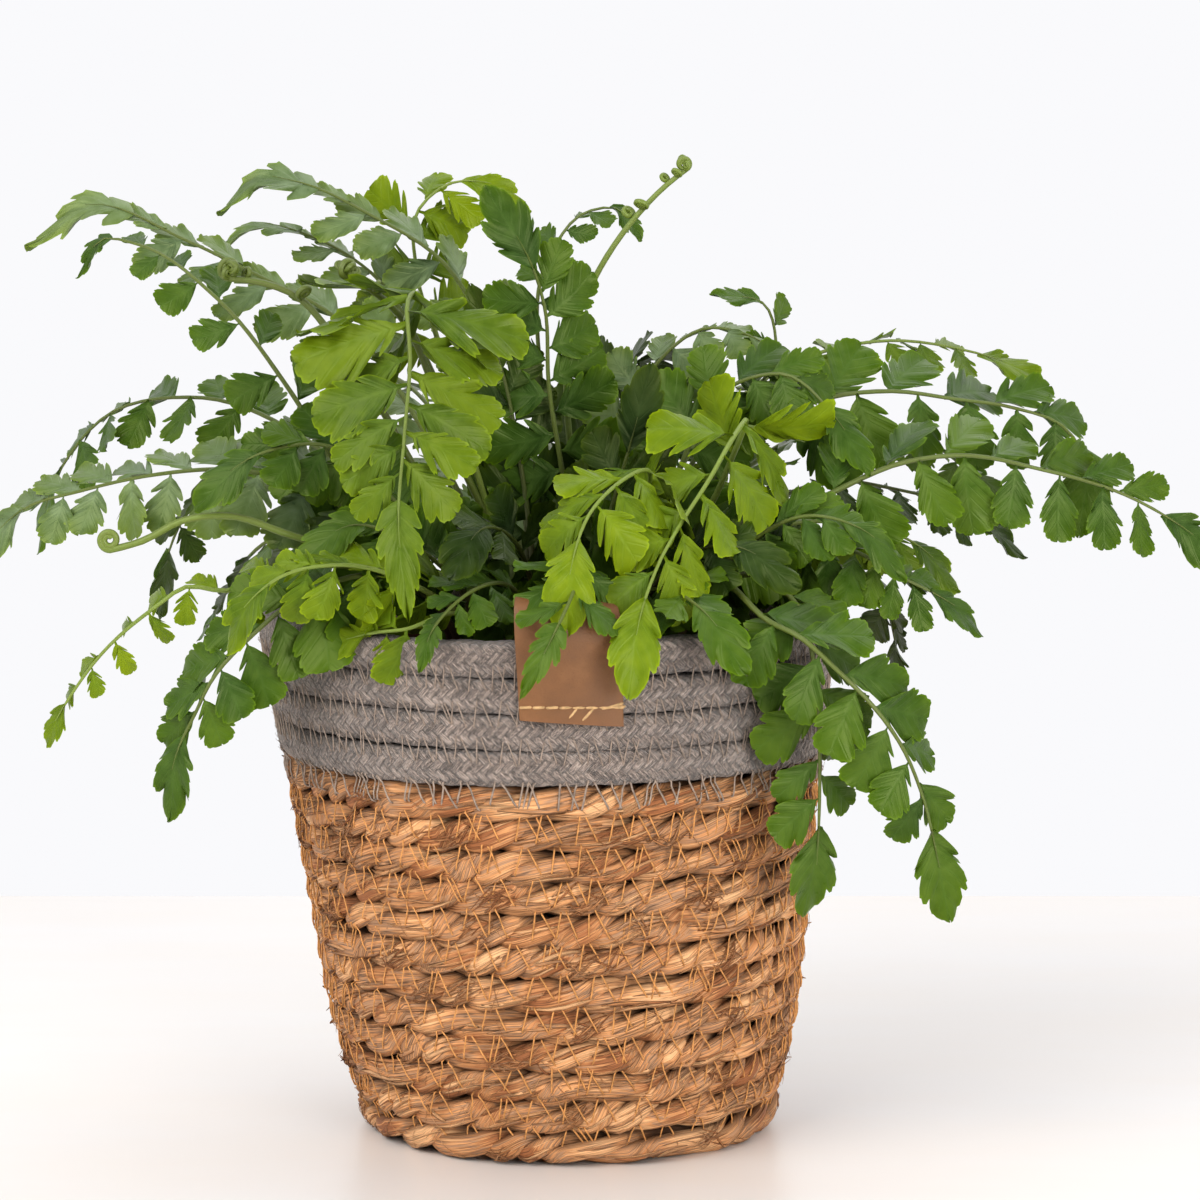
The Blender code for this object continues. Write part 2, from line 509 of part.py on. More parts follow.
def add_blade(shape, top_a, top_b, low_a, low_b, upper, lower):
    """Faces of a thin fan between two corners of the stem above and one or two below."""
    tops = [top_a, *(shape.verts.new(p) for p in upper), top_b]
    lows = [low_a, *(shape.verts.new(p) for p in lower), low_b]
    for i in range(1, len(tops) - 1):
        shape.faces.new((tops[0], tops[i], tops[i + 1]))
        if lows[0] is not lows[i + 1]:
            shape.faces.new((lows[0], lows[i + 1], lows[i]))
    for i in range(len(tops) - 1):
        shape.faces.new((tops[i], lows[i], lows[i + 1], tops[i + 1]))


def leaflet_choices(stem, distance, side, length, wobble):
    """Each way a leaflet may sit there, from the natural one to the most bent and smallest."""
    _, ahead, up, right = stem.at(distance)
    if side:
        forward = LEAF_FORWARD + wobble
        axis = math.cos(forward) * side * right + math.sin(forward) * ahead
        axis = math.cos(LEAF_DROOP) * axis - math.sin(LEAF_DROOP) * up
    else:
        axis = ahead
    normal = unit(up - axis * (up @ axis))
    across = np.cross(normal, axis) * (side or -1)
    for shrink in SHRINK_CLEAR:
        for bend in BEND_CLEAR:
            turn = math.radians(bend)
            tilted = across * math.cos(turn) + normal * math.sin(turn)
            yield axis, tilted, normal * math.cos(turn) - across * math.sin(turn), length * shrink


def fitted_leaflet(stem, distance, side, length, wobble, corners, crowd):
    """The first choice that is clear of everything in the crowd, or None."""
    outline = BIG_OUTLINE if length > BIG_LEAF else SMALL_OUTLINE
    root = 0.5 * (corners[0] + corners[1])
    for axis, across, normal, size in leaflet_choices(stem, distance, side, length, wobble):
        upper, lower = leaflet_points(root, axis, across, normal, size, outline)
        plate = swollen(upper, lower, corners)
        if not any(plate.overlap(other) for other in crowd):
            return upper, lower, plate
    return None


def frond_mesh(frond, stem, crowd, chance):
    """One closed mesh: a three-sided stem with leaflets grown from its sides and its tip."""
    shape = bmesh.new()
    leaf = frond.leaf_mm * MM
    tip = 0.0 if frond.coil else TIP_INSET * TIP_LEAF * leaf
    first = frond.bare * stem.length
    step = (stem.length - tip - first) / max(frond.pairs, 1)
    stations = [(0.0, 0), (STEM_BURIED + STEM_CLEARS, 0)]
    bare_end = first if frond.pairs else stem.length
    count = max(2, round((bare_end - STEM_BURIED) / STEM_STEP))
    stations += [(s, 0) for s in np.linspace(STEM_BURIED, bare_end, count + 1)[1:-1]]
    for pair in range(frond.pairs):
        start = first + pair * step
        stations += [(start, -1), (start + LEAF_ROOT, 1), (start + 2 * LEAF_ROOT, 0)]
    if frond.coil:
        coil = 2 * math.pi * COIL_TURNS * 0.5 * sum(COIL_RADII)
        stations = [stop for stop in stations if stop[0] < stem.length - coil - LEAF_ROOT]
        stations += [(s, 0) for s in np.linspace(stem.length - coil, stem.length, COIL_STOPS)]
    else:
        stations.append((stem.length - tip, 0))
    rings = [[shape.verts.new(corner) for corner in stem.ring(s)] for s, _ in stations]
    shape.faces.new(rings[0])
    same_side = {-1: [], 1: []}
    for (distance, side), near, far in zip(stations, rings, rings[1:]):
        shape.faces.new((near[0], near[1], far[1], far[0]))
        for flank, top in ((-1, 0), (1, 1)):
            found = None
            if side == flank:
                share = (distance - first) / max(stem.length - first, leaf)
                length = leaf * min(1.0, LEAF_FIRST + share) * (1 - LEAF_TAPER * share**2)
                length = min(length * chance.uniform(1 - LEAF_VARIES, 1 + LEAF_VARIES), LEAF_ROOM * step)
                corners = [np.array(v.co) for v in (near[top], far[top], near[2], far[2])]
                middle = distance + 0.5 * LEAF_ROOT
                found = fitted_leaflet(stem, middle, side, length, chance.normal(0, LEAF_VARIES), corners,
                                       crowd + same_side[side])
            if found:
                add_blade(shape, near[top], far[top], near[2], far[2], found[0], found[1])
                same_side[side].append(found[2])
            else:
                shape.faces.new((near[top], far[top], far[2], near[2]))
    end = rings[-1]
    found = None
    if not frond.coil:
        corners = [np.array(v.co) for v in (end[0], end[1], end[2], end[2])]
        own = [trees[-1] for trees in same_side.values() if trees]
        found = fitted_leaflet(stem, stem.length - tip, 0, TIP_LEAF * leaf, 0.0, corners, crowd + own)
    if found:
        add_blade(shape, end[0], end[1], end[2], end[2], found[0], found[1])
    else:
        shape.faces.new(end)
    bmesh.ops.recalc_face_normals(shape, faces=shape.faces)
    if shape.calc_volume(signed=True) < 0:
        bmesh.ops.reverse_faces(shape, faces=shape.faces)
    return shape


def stem_tree(stem):
    """The bare stem above the soil as a search tree, a little thick."""
    stops = np.linspace(STEM_BURIED, stem.length, 40)
    corners = np.concatenate([stem.ring(s) for s in stops])
    middles = np.repeat([stem.at(s)[0] for s in stops], 3, axis=0)
    corners += unit(corners - middles) * GAP
    faces = [(3 * i + a, 3 * i + b, 3 * i + 3 + b, 3 * i + 3 + a)
             for i in range(len(stops) - 1) for a, b in ((0, 1), (1, 2), (2, 0))]
    return BVHTree.FromPolygons([tuple(p) for p in corners], faces)


def fern(collection, holder):
    """Every frond in turn. A leaflet that would cross what is there already bends, shrinks or stays off."""
    graph = bpy.context.evaluated_depsgraph_get()
    solid = [BVHTree.FromObject(made, graph) for made in holder]
    stems = [Stem(frond) for frond in FRONDS]
    stem_trees = [stem_tree(stem) for stem in stems]
    finishes = {tone: material(f"leaf_{tone}", colour, 0.45) for tone, colour in COLOURS.items()}
    grown = []
    for number, (frond, stem) in enumerate(zip(FRONDS, stems)):
        crowd = solid + grown + stem_trees[:number] + stem_trees[number + 1:]
        shape = frond_mesh(frond, stem, crowd, np.random.default_rng(number))
        grown.append(BVHTree.FromBMesh(shape))
        mesh = bpy.data.meshes.new(frond.name)
        shape.to_mesh(mesh)
        shape.free()
        add_object(frond.name, mesh, collection, finishes[frond.tone])


def main():
    for old in list(bpy.data.objects):
        bpy.data.objects.remove(old, do_unlink=True)
    collection = bpy.data.collections.new("potted_mother_fern")
    cutters = bpy.data.collections.new("cutters")
    cutters.hide_render = True
    bpy.context.scene.collection.children.link(collection)
    bpy.context.scene.collection.children.link(cutters)
    holder = [basket(collection), rope_band(collection), rim_tag(collection), liner(collection),
              nursery_pot(collection, cutters), soil(collection, cutters)]
    fern(collection, holder)


main()
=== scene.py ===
"""The looks of a potted mother fern in a basket of braided water hyacinth with a cotton rope rim.

Every surface is worked out with numpy on a grid of two parameters and stands in metres in the model's own
frame: +Z up, the front of the basket towards -Y, the centre of its foot at the origin.
"""

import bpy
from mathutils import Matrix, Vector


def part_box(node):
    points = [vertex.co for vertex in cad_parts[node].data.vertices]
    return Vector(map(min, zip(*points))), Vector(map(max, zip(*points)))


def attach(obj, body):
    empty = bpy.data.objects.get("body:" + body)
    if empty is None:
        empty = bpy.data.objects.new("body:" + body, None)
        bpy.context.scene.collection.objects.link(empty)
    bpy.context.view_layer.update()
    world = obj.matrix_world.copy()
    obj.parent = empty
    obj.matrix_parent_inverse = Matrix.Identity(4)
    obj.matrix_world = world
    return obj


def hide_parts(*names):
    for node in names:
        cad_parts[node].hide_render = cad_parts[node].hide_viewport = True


bl_info = {
    "name": "Potted Mother Fern",
    "version": (1, 0, 0),
    "blender": (4, 5, 0),
    "location": "View3D > Sidebar > Fern",
    "description": "Braids the basket, sews its rim and grows the fronds of a potted mother fern",
    "category": "Add Mesh",
}

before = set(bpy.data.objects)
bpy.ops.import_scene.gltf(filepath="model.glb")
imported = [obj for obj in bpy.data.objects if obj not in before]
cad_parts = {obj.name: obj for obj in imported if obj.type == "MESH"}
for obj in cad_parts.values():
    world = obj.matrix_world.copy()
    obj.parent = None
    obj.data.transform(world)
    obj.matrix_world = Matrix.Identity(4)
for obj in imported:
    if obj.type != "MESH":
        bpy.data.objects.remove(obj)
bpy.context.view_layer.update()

import math
from collections import namedtuple

import bpy
import numpy as np
from bpy.props import FloatProperty, FloatVectorProperty, IntProperty, PointerProperty
from bpy.types import Operator, Panel, PropertyGroup
from mathutils import Vector

MM = 0.001
FULL_TURN = 2 * math.pi

# The basket's outline, as the model is built
RIM_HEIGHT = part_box("rope_band")[1].z
BRAID_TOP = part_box("basket")[1].z
RIM_RADIUS = 0.0712
TAPER = 0.126  # radius gained for each metre of height
LEAN = -0.044  # the basket leans to -X by this share of its height
WALL = 0.0085
ROUND_UNDER = 0.005
ROUND_FROM = 0.035
BRAID_ROWS = 12
ROLL_HEIGHT = 0.0086
ROLL_IN = 0.008  # how far the lowest row draws in on its way to the foot
ROW_PITCH = (BRAID_TOP - ROLL_HEIGHT) / (BRAID_ROWS - 1)
ROPE_ROWS = 4
ROPE_PROUD = 0.0004

# Rows under the wall's: the one that rolls in at the foot, and the flat coil that closes it
ROLL_RADIUS = 0.0480
ROLL_MIDDLE = 0.0050
ROLL_TILT = math.radians(32)
FOOT_RADIUS = 0.0405
FOOT_HOLE = 0.006
FOOT_MIDDLE = 0.0042

# The tag, the pot and the soil, as the model is built
TAG_WIDTH = 0.0245
TAG_THICK = 0.0012
TAG_PATH = ((0.0707, 0.110), (0.0717, 0.118), (0.0727, 0.126), (0.0727, 0.132), (0.0706, 0.1368),
            (0.0672, 0.138), (0.0637, 0.1368), (0.0616, 0.132), (0.0612, 0.124))  # radius and height
TAG_SLANT = 0.07
TAG_TURN = 0.078
POT_TOP = 0.122
POT_LIP = 0.009
POT_RIM_RADIUS = 0.059
POT_WALL = 0.0013
POT_SIDES = 22
SOIL_TOP = 0.118
SOIL_RADIUS = 0.0548
SOIL_FOOT_RADIUS = 0.044

# Stems of the fronds, as the model is built
STEM_BURIED = 0.012
STEM_BASE_RADIUS = 0.0010
STEM_TIP_RADIUS = 0.00032
COIL_RADII = (0.48, 0.18)  # of the coil's width, which its frond's leaf_mm gives
COIL_TURNS = 1.7
COIL_THICK = 0.16  # the same for its end's half thickness
COIL_SAMPLES = 48
STEM_SAMPLES = 120

# Seeds of the random draws: a frond's is the first one plus its place in the list
BRAID_SEED, FIBRE_SEED = 11, 12
GOLD_THREAD_SEED, GREY_THREAD_SEED = 21, 22
ROPE_SEED, FUZZ_SEED = 31, 32
SOIL_SEED = 41
FIRST_FROND_SEED = 100

# A frond's route gives millimetres, from where its stem leaves the soil to its tip. Its face is the
# direction that its upper side turns to. Bare is the share of the stem below the first leaflet.
Frond = namedtuple("Frond", "name tone cut pairs leaf_mm bare face route coil", defaults=(False,))
FRONDS = (
    Frond("frond_front_hanging", "pale", "feather", 8, 24, 0.53, (0, -1, 0.6),
          ((-14, -6), (-26, -16, 176), (-36, -32, 208), (-38, -46, 206), (-37, -56, 194), (-38, -68, 176),
           (-39, -78, 157), (-37, -84, 140))),
    Frond("frond_centre_upright", "green", "fan", 7, 16.5, 0.36, (0, -1, 0.2),
          ((0, 4), (-1, 0, 157), (-5, -5, 185), (-6, -10, 204), (-9, -14, 214), (-18, -18, 230))),
    Frond("frond_centre_lime", "lime", "curly", 6, 16, 0.40, (0, -1, 0.5),
          ((18, -4), (37, -8, 160), (43, -18, 177), (39, -30, 173), (33, -42, 164), (27, -52, 156),
           (20, -66, 145), (16, -76, 134), (14, -82, 121))),
    Frond("frond_right_long", "green", "narrow", 7, 16.5, 0.42, (0.1, -0.9, 0.5),
          ((22, -8), (46, -14, 148), (66, -16, 160), (80, -16, 166), (97, -16, 168), (113, -16, 165),
           (136, -16, 158), (150, -16, 150), (160, -16, 142))),
    Frond("frond_right_upper", "green", "fan", 6, 17.5, 0.44, (0.1, -0.8, 0.6),
          ((18, 4), (38, 8, 162), (60, 10, 179), (80, 10, 182), (96, 10, 180), (110, 9, 178),
           (123, 7, 173), (128, 5, 165), (127, 4, 149))),
    Frond("frond_left_long", "silver", "fan", 8, 14.5, 0.38, (-0.1, -0.7, 0.7),
          ((-28, -8), (-50, -18, 152), (-66, -22, 162), (-79, -24, 165), (-100, -25, 164),
           (-118, -25, 160), (-131, -24, 156), (-144, -23, 144))),
    Frond("frond_right_hanging", "green", "mitten", 6, 16, 0.40, (0.3, -0.9, 0.3),
          ((20, -26), (36, -42, 140), (47, -56, 132), (54, -62, 129), (62, -64, 122), (71, -64, 113),
           (78, -62, 103), (83, -60, 91), (87, -58, 75), (90, -56, 63))),
    Frond("frond_right_hanging_inner", "green", "mitten", 5, 15.5, 0.44, (0.4, -0.9, 0.2),
          ((26, -18), (44, -34, 141), (55, -48, 133), (58, -53, 119), (59, -55, 102), (59, -55, 88),
           (58, -54, 63))),
    Frond("frond_left_hanging", "green", "mitten", 6, 15, 0.42, (-0.3, -0.9, 0.3),
          ((-26, -26), (-48, -46, 142), (-64, -53, 137), (-74, -54, 129), (-84, -55, 118),
           (-88, -54, 110), (-92, -53, 102), (-96, -52, 86))),
    Frond("frond_left_rising", "green", "shrinking", 7, 14.5, 0.30, (-0.2, -0.6, 0.8),
          ((-24, -2), (-44, -14, 148), (-58, -20, 169), (-68, -20, 185), (-85, -16, 206),
           (-105, -10, 219), (-114, -8, 220), (-119, -8, 213))),
    Frond("frond_top_left_long", "silver", "blade", 6, 14.5, 0.44, (-0.3, -0.6, 0.8),
          ((-16, 6), (-35, 12, 170), (-58, 14, 200), (-78, 12, 211), (-94, 10, 219), (-120, 10, 228),
           (-133, 8, 220))),
    Frond("frond_top_left_short", "silver", "blade", 5, 14, 0.48, (-0.2, -0.6, 0.8),
          ((-10, 12), (-15, 20, 175), (-33, 22, 215), (-49, 22, 225), (-69, 20, 234), (-79, 20, 235),
           (-87, 18, 229))),
    Frond("frond_top_left_inner", "silver", "blade", 4, 11, 0.60, (-0.2, -0.3, 1),
          ((-16, 18), (-32, 32, 180), (-52, 36, 212), (-66, 35, 220), (-80, 33, 223), (-88, 31, 220))),
    Frond("frond_top_pale", "lime", "curly", 5, 13.5, 0.60, (0.1, -0.7, 0.7),
          ((-8, 20), (-28, 36, 180), (-39, 42, 212), (-39, 42, 225), (-30, 42, 233), (-20, 41, 233),
           (-11, 40, 229))),
    Frond("frond_top_right_edge", "green", "narrow", 4, 9, 0.66, (0, -0.4, 1),
          ((-3, 17), (-7, 20, 180), (-5, 18, 215), (4, 19, 226), (12, 19, 227), (18, 18, 221))),
    Frond("crozier_tall", "pale", "fan", 0, 3.4, 0.62, (-0.9, -0.3, 0.6),
          ((8, 8), (1, 8, 160), (1, 7, 197), (9, 5, 215), (17, 4, 226), (25, 3, 234), (29, 3, 237)), True),
    Frond("frond_front_lime", "lime", "curly", 5, 16, 0.44, (-0.1, -0.8, 0.6),
          ((9, -12), (18, -24, 155), (19, -38, 166), (11, -54, 164), (4, -66, 157), (0, -75, 144),
           (-1, -77, 134))),
    Frond("frond_over_tag", "green", "feather", 4, 16.5, 0.44, (0, -1, 0.5),
          ((3, -26), (4, -46, 140), (3, -62, 146), (1, -74, 141), (-4, -81, 131), (-10, -83, 120))),
    Frond("frond_rim_right", "green", "mitten", 6, 15.5, 0.30, (0.3, -0.9, 0.5),
          ((12, -32), (20, -50, 139), (31, -67, 136), (40, -76, 125))),
    Frond("frond_rim_left", "green", "shrinking", 6, 13.5, 0.30, (-0.1, -0.9, 0.6),
          ((-8, -30), (-15, -48, 140), (-24, -62, 139), (-32, -71, 131), (-34, -76, 125))),
    Frond("frond_left_lime", "lime", "curly", 6, 13.5, 0.30, (-0.5, -0.8, 0.5),
          ((-20, -34), (-38, -52, 141), (-54, -62, 146), (-66, -65, 144), (-75, -66, 137), (-80, -66, 128))),
    Frond("frond_on_rim", "lime", "curly", 2, 10, 0.70, (-0.4, -0.9, 0.4),
          ((-14, -38), (-28, -56, 134), (-38, -62, 131), (-45, -60, 130), (-52, -56, 128), (-59, -55, 126))),
    Frond("frond_lower_left_thin", "lime", "curly", 6, 8, 0.46, (-0.4, -0.8, 0.5),
          ((-28, -18), (-52, -36, 143), (-70, -42, 142), (-81, -44, 138), (-91, -45, 139), (-97, -46, 135),
           (-110, -46, 124), (-119, -45, 112), (-125, -44, 102))),
    Frond("crozier_left", "pale", "fan", 0, 5, 0.9, (-0.3, 0.0, 1),
          ((-30, -13), (-48, -30, 143), (-68, -36, 151), (-80, -36, 155), (-92, -36, 154), (-102, -36, 149),
           (-109, -36, 147)), True),
    Frond("bud_left", "green", "fan", 0, 5, 0.9, (0.1, 0, 1),
          ((-16, 0), (-38, -10, 165), (-57, -18, 197), (-66, -20, 207), (-74, -20, 210),
           (-82, -20, 211)), True),
    Frond("bud_front", "green", "fan", 0, 4.5, 0.9, (0.2, 0, 1),
          ((-10, -4), (-28, -14, 170), (-42, -26, 204), (-49, -34, 210), (-53, -38, 212)), True),
    Frond("frond_left_middle", "green", "mitten", 10, 14, 0.14, (-0.3, -0.8, 0.5),
          ((-22, -14), (-42, -28, 158), (-58, -36, 172), (-74, -40, 170), (-88, -42, 160))),
    Frond("frond_left_behind", "green", "fan", 10, 14.5, 0.18, (-0.4, -0.4, 0.8),
          ((-24, 16), (-60, 38, 163), (-95, 48, 178), (-118, 50, 174), (-132, 50, 158), (-138, 50, 140))),
    Frond("frond_right_middle", "green", "fan", 10, 15.5, 0.14, (0.3, -0.9, 0.5),
          ((14, 8), (26, 4, 160), (40, 0, 184), (53, -5, 187), (64, -12, 178), (72, -17, 166))),
    Frond("frond_middle_silver", "silver", "fan", 8, 13, 0.26, (0.2, -0.5, 0.8),
          ((6, 16), (13, 22, 165), (22, 24, 188), (34, 22, 197), (46, 18, 195), (57, 14, 187))),
    Frond("frond_middle_left", "deep", "mitten", 8, 15, 0.12, (-0.1, -1, 0.2),
          ((-8, 2), (-12, 0, 165), (-17, -5, 190), (-23, -9, 206))),
    Frond("frond_low_left_of_centre", "deep", "mitten", 8, 15, 0.14, (-0.2, -0.9, 0.5),
          ((-7, -16), (-14, -34, 150), (-21, -50, 153), (-27, -62, 145))),
    Frond("frond_low_left", "green", "mitten", 10, 14.5, 0.12, (-0.3, -0.9, 0.5),
          ((-20, -22), (-38, -40, 149), (-52, -49, 154), (-63, -53, 147))),
    Frond("frond_low_right_of_centre", "deep", "mitten", 8, 15, 0.14, (0.2, -0.9, 0.5),
          ((16, -16), (27, -36, 145), (40, -50, 149), (52, -58, 143))),
    Frond("frond_low_right", "green", "mitten", 10, 14.5, 0.12, (0.3, -0.8, 0.6),
          ((28, -12), (45, -26, 149), (58, -34, 155), (70, -38, 152), (80, -40, 143))),
    Frond("frond_inner_right", "deep", "mitten", 8, 15.5, 0.12, (0.1, -1, 0.3),
          ((3, -5), (9, -14, 150), (15, -22, 172), (19, -28, 188))),
    Frond("frond_right_pale", "pale", "curly", 8, 12, 0.34, (0.2, -0.6, 0.8),
          ((28, -1), (48, -2, 148), (71, -2, 150), (84, -3, 146), (96, -4, 136))),
    Frond("frond_right_low", "green", "narrow", 8, 13, 0.36, (0.3, -0.7, 0.6),
          ((34, -8), (50, -20, 144), (68, -27, 146), (79, -28, 140), (89, -27, 135), (100, -26, 128))),
    Frond("frond_right_dark", "deep", "narrow", 10, 13, 0.20, (0.1, -0.4, 0.9),
          ((24, 10), (46, 24, 150), (68, 30, 158), (82, 31, 156), (104, 31, 149), (115, 31, 140))),
    Frond("frond_right_back_upper", "pale", "fan", 11, 13, 0.18, (0.1, -0.4, 0.9),
          ((16, 18), (34, 44, 168), (62, 58, 188), (84, 61, 192), (105, 61, 189), (121, 60, 184))),
    Frond("frond_right_tip_up", "green", "fan", 3, 10, 0.56, (0.3, -0.6, 0.8),
          ((13, 13), (34, 22, 168), (52, 24, 192), (49, 22, 203), (37, 20, 206))),
    Frond("frond_back_right", "green", "fan", 10, 14, 0.16, (0.4, 0.5, 0.8),
          ((22, 24), (44, 48, 158), (76, 74, 170), (104, 94, 158), (120, 106, 138))),
    Frond("frond_back_right_long", "green", "fan", 11, 14, 0.14, (0.2, 0.6, 0.8),
          ((10, 26), (22, 60, 164), (36, 94, 177), (46, 122, 167), (52, 140, 145))),
    Frond("frond_back_centre", "deep", "fan", 11, 14.5, 0.12, (0, 0.7, 0.7),
          ((-1, 31), (-4, 62, 158), (-6, 92, 163), (-8, 116, 148), (-8, 130, 124))),
    Frond("frond_back_left_long", "silver", "fan", 11, 14, 0.14, (-0.3, 0.6, 0.8),
          ((-12, 28), (-30, 60, 166), (-48, 90, 181), (-62, 113, 174), (-70, 128, 152))),
    Frond("frond_back_left", "green", "fan", 10, 14, 0.16, (-0.5, 0.5, 0.7),
          ((-22, 24), (-52, 54, 152), (-82, 80, 158), (-104, 98, 142), (-113, 106, 118))),
    Frond("frond_back_hanging_right", "green", "mitten", 7, 13, 0.32, (0.5, 0.8, 0.3),
          ((10, 36), (28, 58, 142), (40, 75, 136), (48, 86, 114), (52, 90, 88))),
    Frond("frond_back_hanging_left", "deep", "mitten", 7, 13, 0.32, (-0.4, 0.9, 0.3),
          ((-14, 38), (-28, 58, 142), (-38, 76, 135), (-44, 88, 110), (-46, 92, 84))),
    Frond("frond_back_low_right", "deep", "mitten", 7, 13, 0.32, (0.8, 0.5, 0.4),
          ((28, 17), (50, 36, 145), (72, 54, 140), (84, 65, 120), (88, 70, 96))),
    Frond("frond_back_low_left", "green", "mitten", 7, 13, 0.32, (-0.8, 0.4, 0.4),
          ((-34, 12), (-56, 32, 143), (-79, 50, 140), (-92, 60, 122), (-98, 66, 98))),
    Frond("frond_back_upright", "deep", "fan", 10, 15, 0.12, (0.1, 0.8, 0.5),
          ((3, 22), (7, 38, 158), (13, 54, 182), (22, 72, 187), (29, 88, 177))),
)

# Curled buds along a young frond: place as a share of its length, side and half width in millimetres
BUDS = {
    "crozier_tall": ((0.60, 1, 0.9), (0.62, 1, 1.1), (0.80, -1, 1.7), (0.825, 1, 1.7), (0.88, -1, 1.3),
                     (0.90, 1, 1.3), (0.94, -1, 1.1), (0.97, 1, 1.1)),
    "bud_left": ((0.76, -1, 1.9), (0.85, 1, 1.6), (0.88, -1, 1.5), (0.93, -1, 1.6), (0.96, 1, 1.5),
                 (0.985, -1, 1.6)),
    "bud_front": ((0.82, -1, 1.4), (0.90, 1, 1.4), (0.94, -1, 1.5), (0.97, -1, 1.4), (0.99, 1, 1.3)),
}

# How a leaflet is cut. Ahead is its half width on the side towards its frond's tip and behind that on the
# other, as shares of its length, and a higher peak puts its widest place further out. Foot is its stalk's
# share. Plain is how many teeth each margin lacks at its start, and cuts are the teeth before which it is
# incised, to a depth that is a share of the blade, as is the depth of a tooth. Bend is how much it curls
# down, lean turns it towards its frond's tip, and taper is how much smaller it gets there. Last is how long
# the frond's last leaflet is against it, and how that is cut.
Cut = namedtuple("Cut", "ahead behind peak foot plain cuts depth tooth bend lean taper last")
CUTS = {
    "fan": Cut(0.46, 0.40, 1.42, 0.06, (3, 2), ((2, 4, 6), (3, 5)), 1.0, 0.08, 0.14, 0.16, 0.36,
               (1.1, "tip")),
    "mitten": Cut(0.42, 0.38, 1.65, 0.05, (3, 3), ((2, 5), (5,)), 1.0, 0.07, 0.12, 0.28, 0.36, (1.2, "tip")),
    "shrinking": Cut(0.44, 0.38, 1.7, 0.05, (2, 3), ((2, 5), (4,)), 0.9, 0.08, 0.12, 0.2, 0.6,
                     (0.8, "point")),
    "narrow": Cut(0.36, 0.30, 1.5, 0.06, (0, 0), ((1, 4), (2, 5)), 0.75, 0.10, 0.14, 0.10, 0.30,
                  (1.1, "tip")),
    "blade": Cut(0.32, 0.27, 1.4, 0.05, (0, 3), ((3, 5), (5,)), 0.60, 0.09, 0.10, 0.55, 0.25, (1.7, "point")),
    "feather": Cut(0.40, 0.27, 1.45, 0.10, (1, 3), ((1, 4, 6), (3, 5)), 1.3, 0.08, 0.12, 0.0, 0.48,
                   (0.95, "point")),
    "curly": Cut(0.50, 0.45, 1.6, 0.10, (2, 2), ((3, 5), (3, 5)), 1.75, 0.06, 0.42, 0.24, 0.34, (1.2, "tip")),
    "tip": Cut(0.36, 0.36, 1.6, 0.02, (2, 2), ((2, 5), (3, 5)), 1.1, 0.07, 0.14, 0.0, 0.0, None),
    "point": Cut(0.24, 0.24, 0.90, 0.02, (0, 0), ((1, 3, 5), (1, 3, 5)), 0.80, 0.09, 0.12, 0.0, 0.0, None),
}


def unit(vectors):
    return vectors / np.linalg.norm(vectors, axis=-1, keepdims=True)


def times(factor, colour):
    return tuple(factor * part for part in colour)


def reach_along(knots):
    """How far along a line each of its points lies."""
    return np.concatenate([[0], np.cumsum(np.linalg.norm(np.diff(knots, axis=0), axis=1))])


def smooth_path(knots, samples, first_slope=None):
    """A cubic Hermite curve through points, with slopes taken across each point's neighbours."""
    chord = reach_along(knots)
    slopes = np.gradient(knots, chord, axis=0)
    if first_slope is not None:
        slopes[0] = first_slope
    where = np.linspace(0, chord[-1], samples)
    span = np.clip(np.searchsorted(chord, where, "right") - 1, 0, len(knots) - 2)
    width = np.diff(chord)[span][:, None]
    t = (where[:, None] - chord[span][:, None]) / width
    return ((2 * t**3 - 3 * t**2 + 1) * knots[span] + (t**3 - 2 * t**2 + t) * width * slopes[span]
            + (3 * t**2 - 2 * t**3) * knots[span + 1] + (t**3 - t**2) * width * slopes[span + 1])


def wall_radius(height):
    """Outer radius of the basket at a height: a cone that draws in near the foot."""
    low = np.maximum(0.0, 1 - height / ROUND_FROM)
    return RIM_RADIUS - TAPER * (RIM_HEIGHT - height) - ROUND_UNDER * low**1.5


def face_radius(height):
    """The same, with the lowest row's roll towards the foot."""
    low = np.maximum(0.0, 1 - height / ROLL_HEIGHT)
    return wall_radius(height) - ROLL_IN * low**2.1


def around(turn, radius, height):
    """Points at a turn from the front, towards +X, and at a radius from the leaning axis."""
    turn, radius, height = np.broadcast_arrays(turn, radius, height)
    return np.stack([radius * np.sin(turn) + LEAN * height, -radius * np.cos(turn), height], axis=-1)


def facing(turn, tilt):
    """Unit vectors that point out at a turn, tipped down by the tilt."""
    turn, tilt = np.broadcast_arrays(turn, tilt)
    return np.stack([np.sin(turn) * np.cos(tilt), -np.cos(turn) * np.cos(tilt), -np.sin(tilt)], axis=-1)


def repeated(faces, count, points):
    """The faces of one shape, once for each of many like shapes whose points follow each other."""
    steps = points * np.arange(count)[:, None, None]
    return np.where(faces < 0, -1, faces + steps).reshape(-1, 4)


def tube_faces(count, rings, sides, closed=False):
    """Quads between the rings of many like tubes, and a fan over each open end. -1 fills a triangle up."""
    ring, side = np.arange(rings if closed else rings - 1)[:, None] * sides, np.arange(sides)
    ahead, turned = (ring + sides) % (rings * sides), (side + 1) % sides
    faces = np.stack([ring + side, ring + turned, ahead + turned, ahead + side], axis=-1).reshape(-1, 4)
    if not closed:
        fan, hub, last = np.arange(1, sides - 1), np.zeros(sides - 2, int), (rings - 1) * sides
        start = np.stack([hub, fan + 1, fan, hub - 1], axis=-1)
        end = np.stack([hub + last, fan + last, fan + last + 1, hub - 1], axis=-1)
        faces = np.concatenate([faces, start, end])
    return repeated(faces, count, rings * sides)


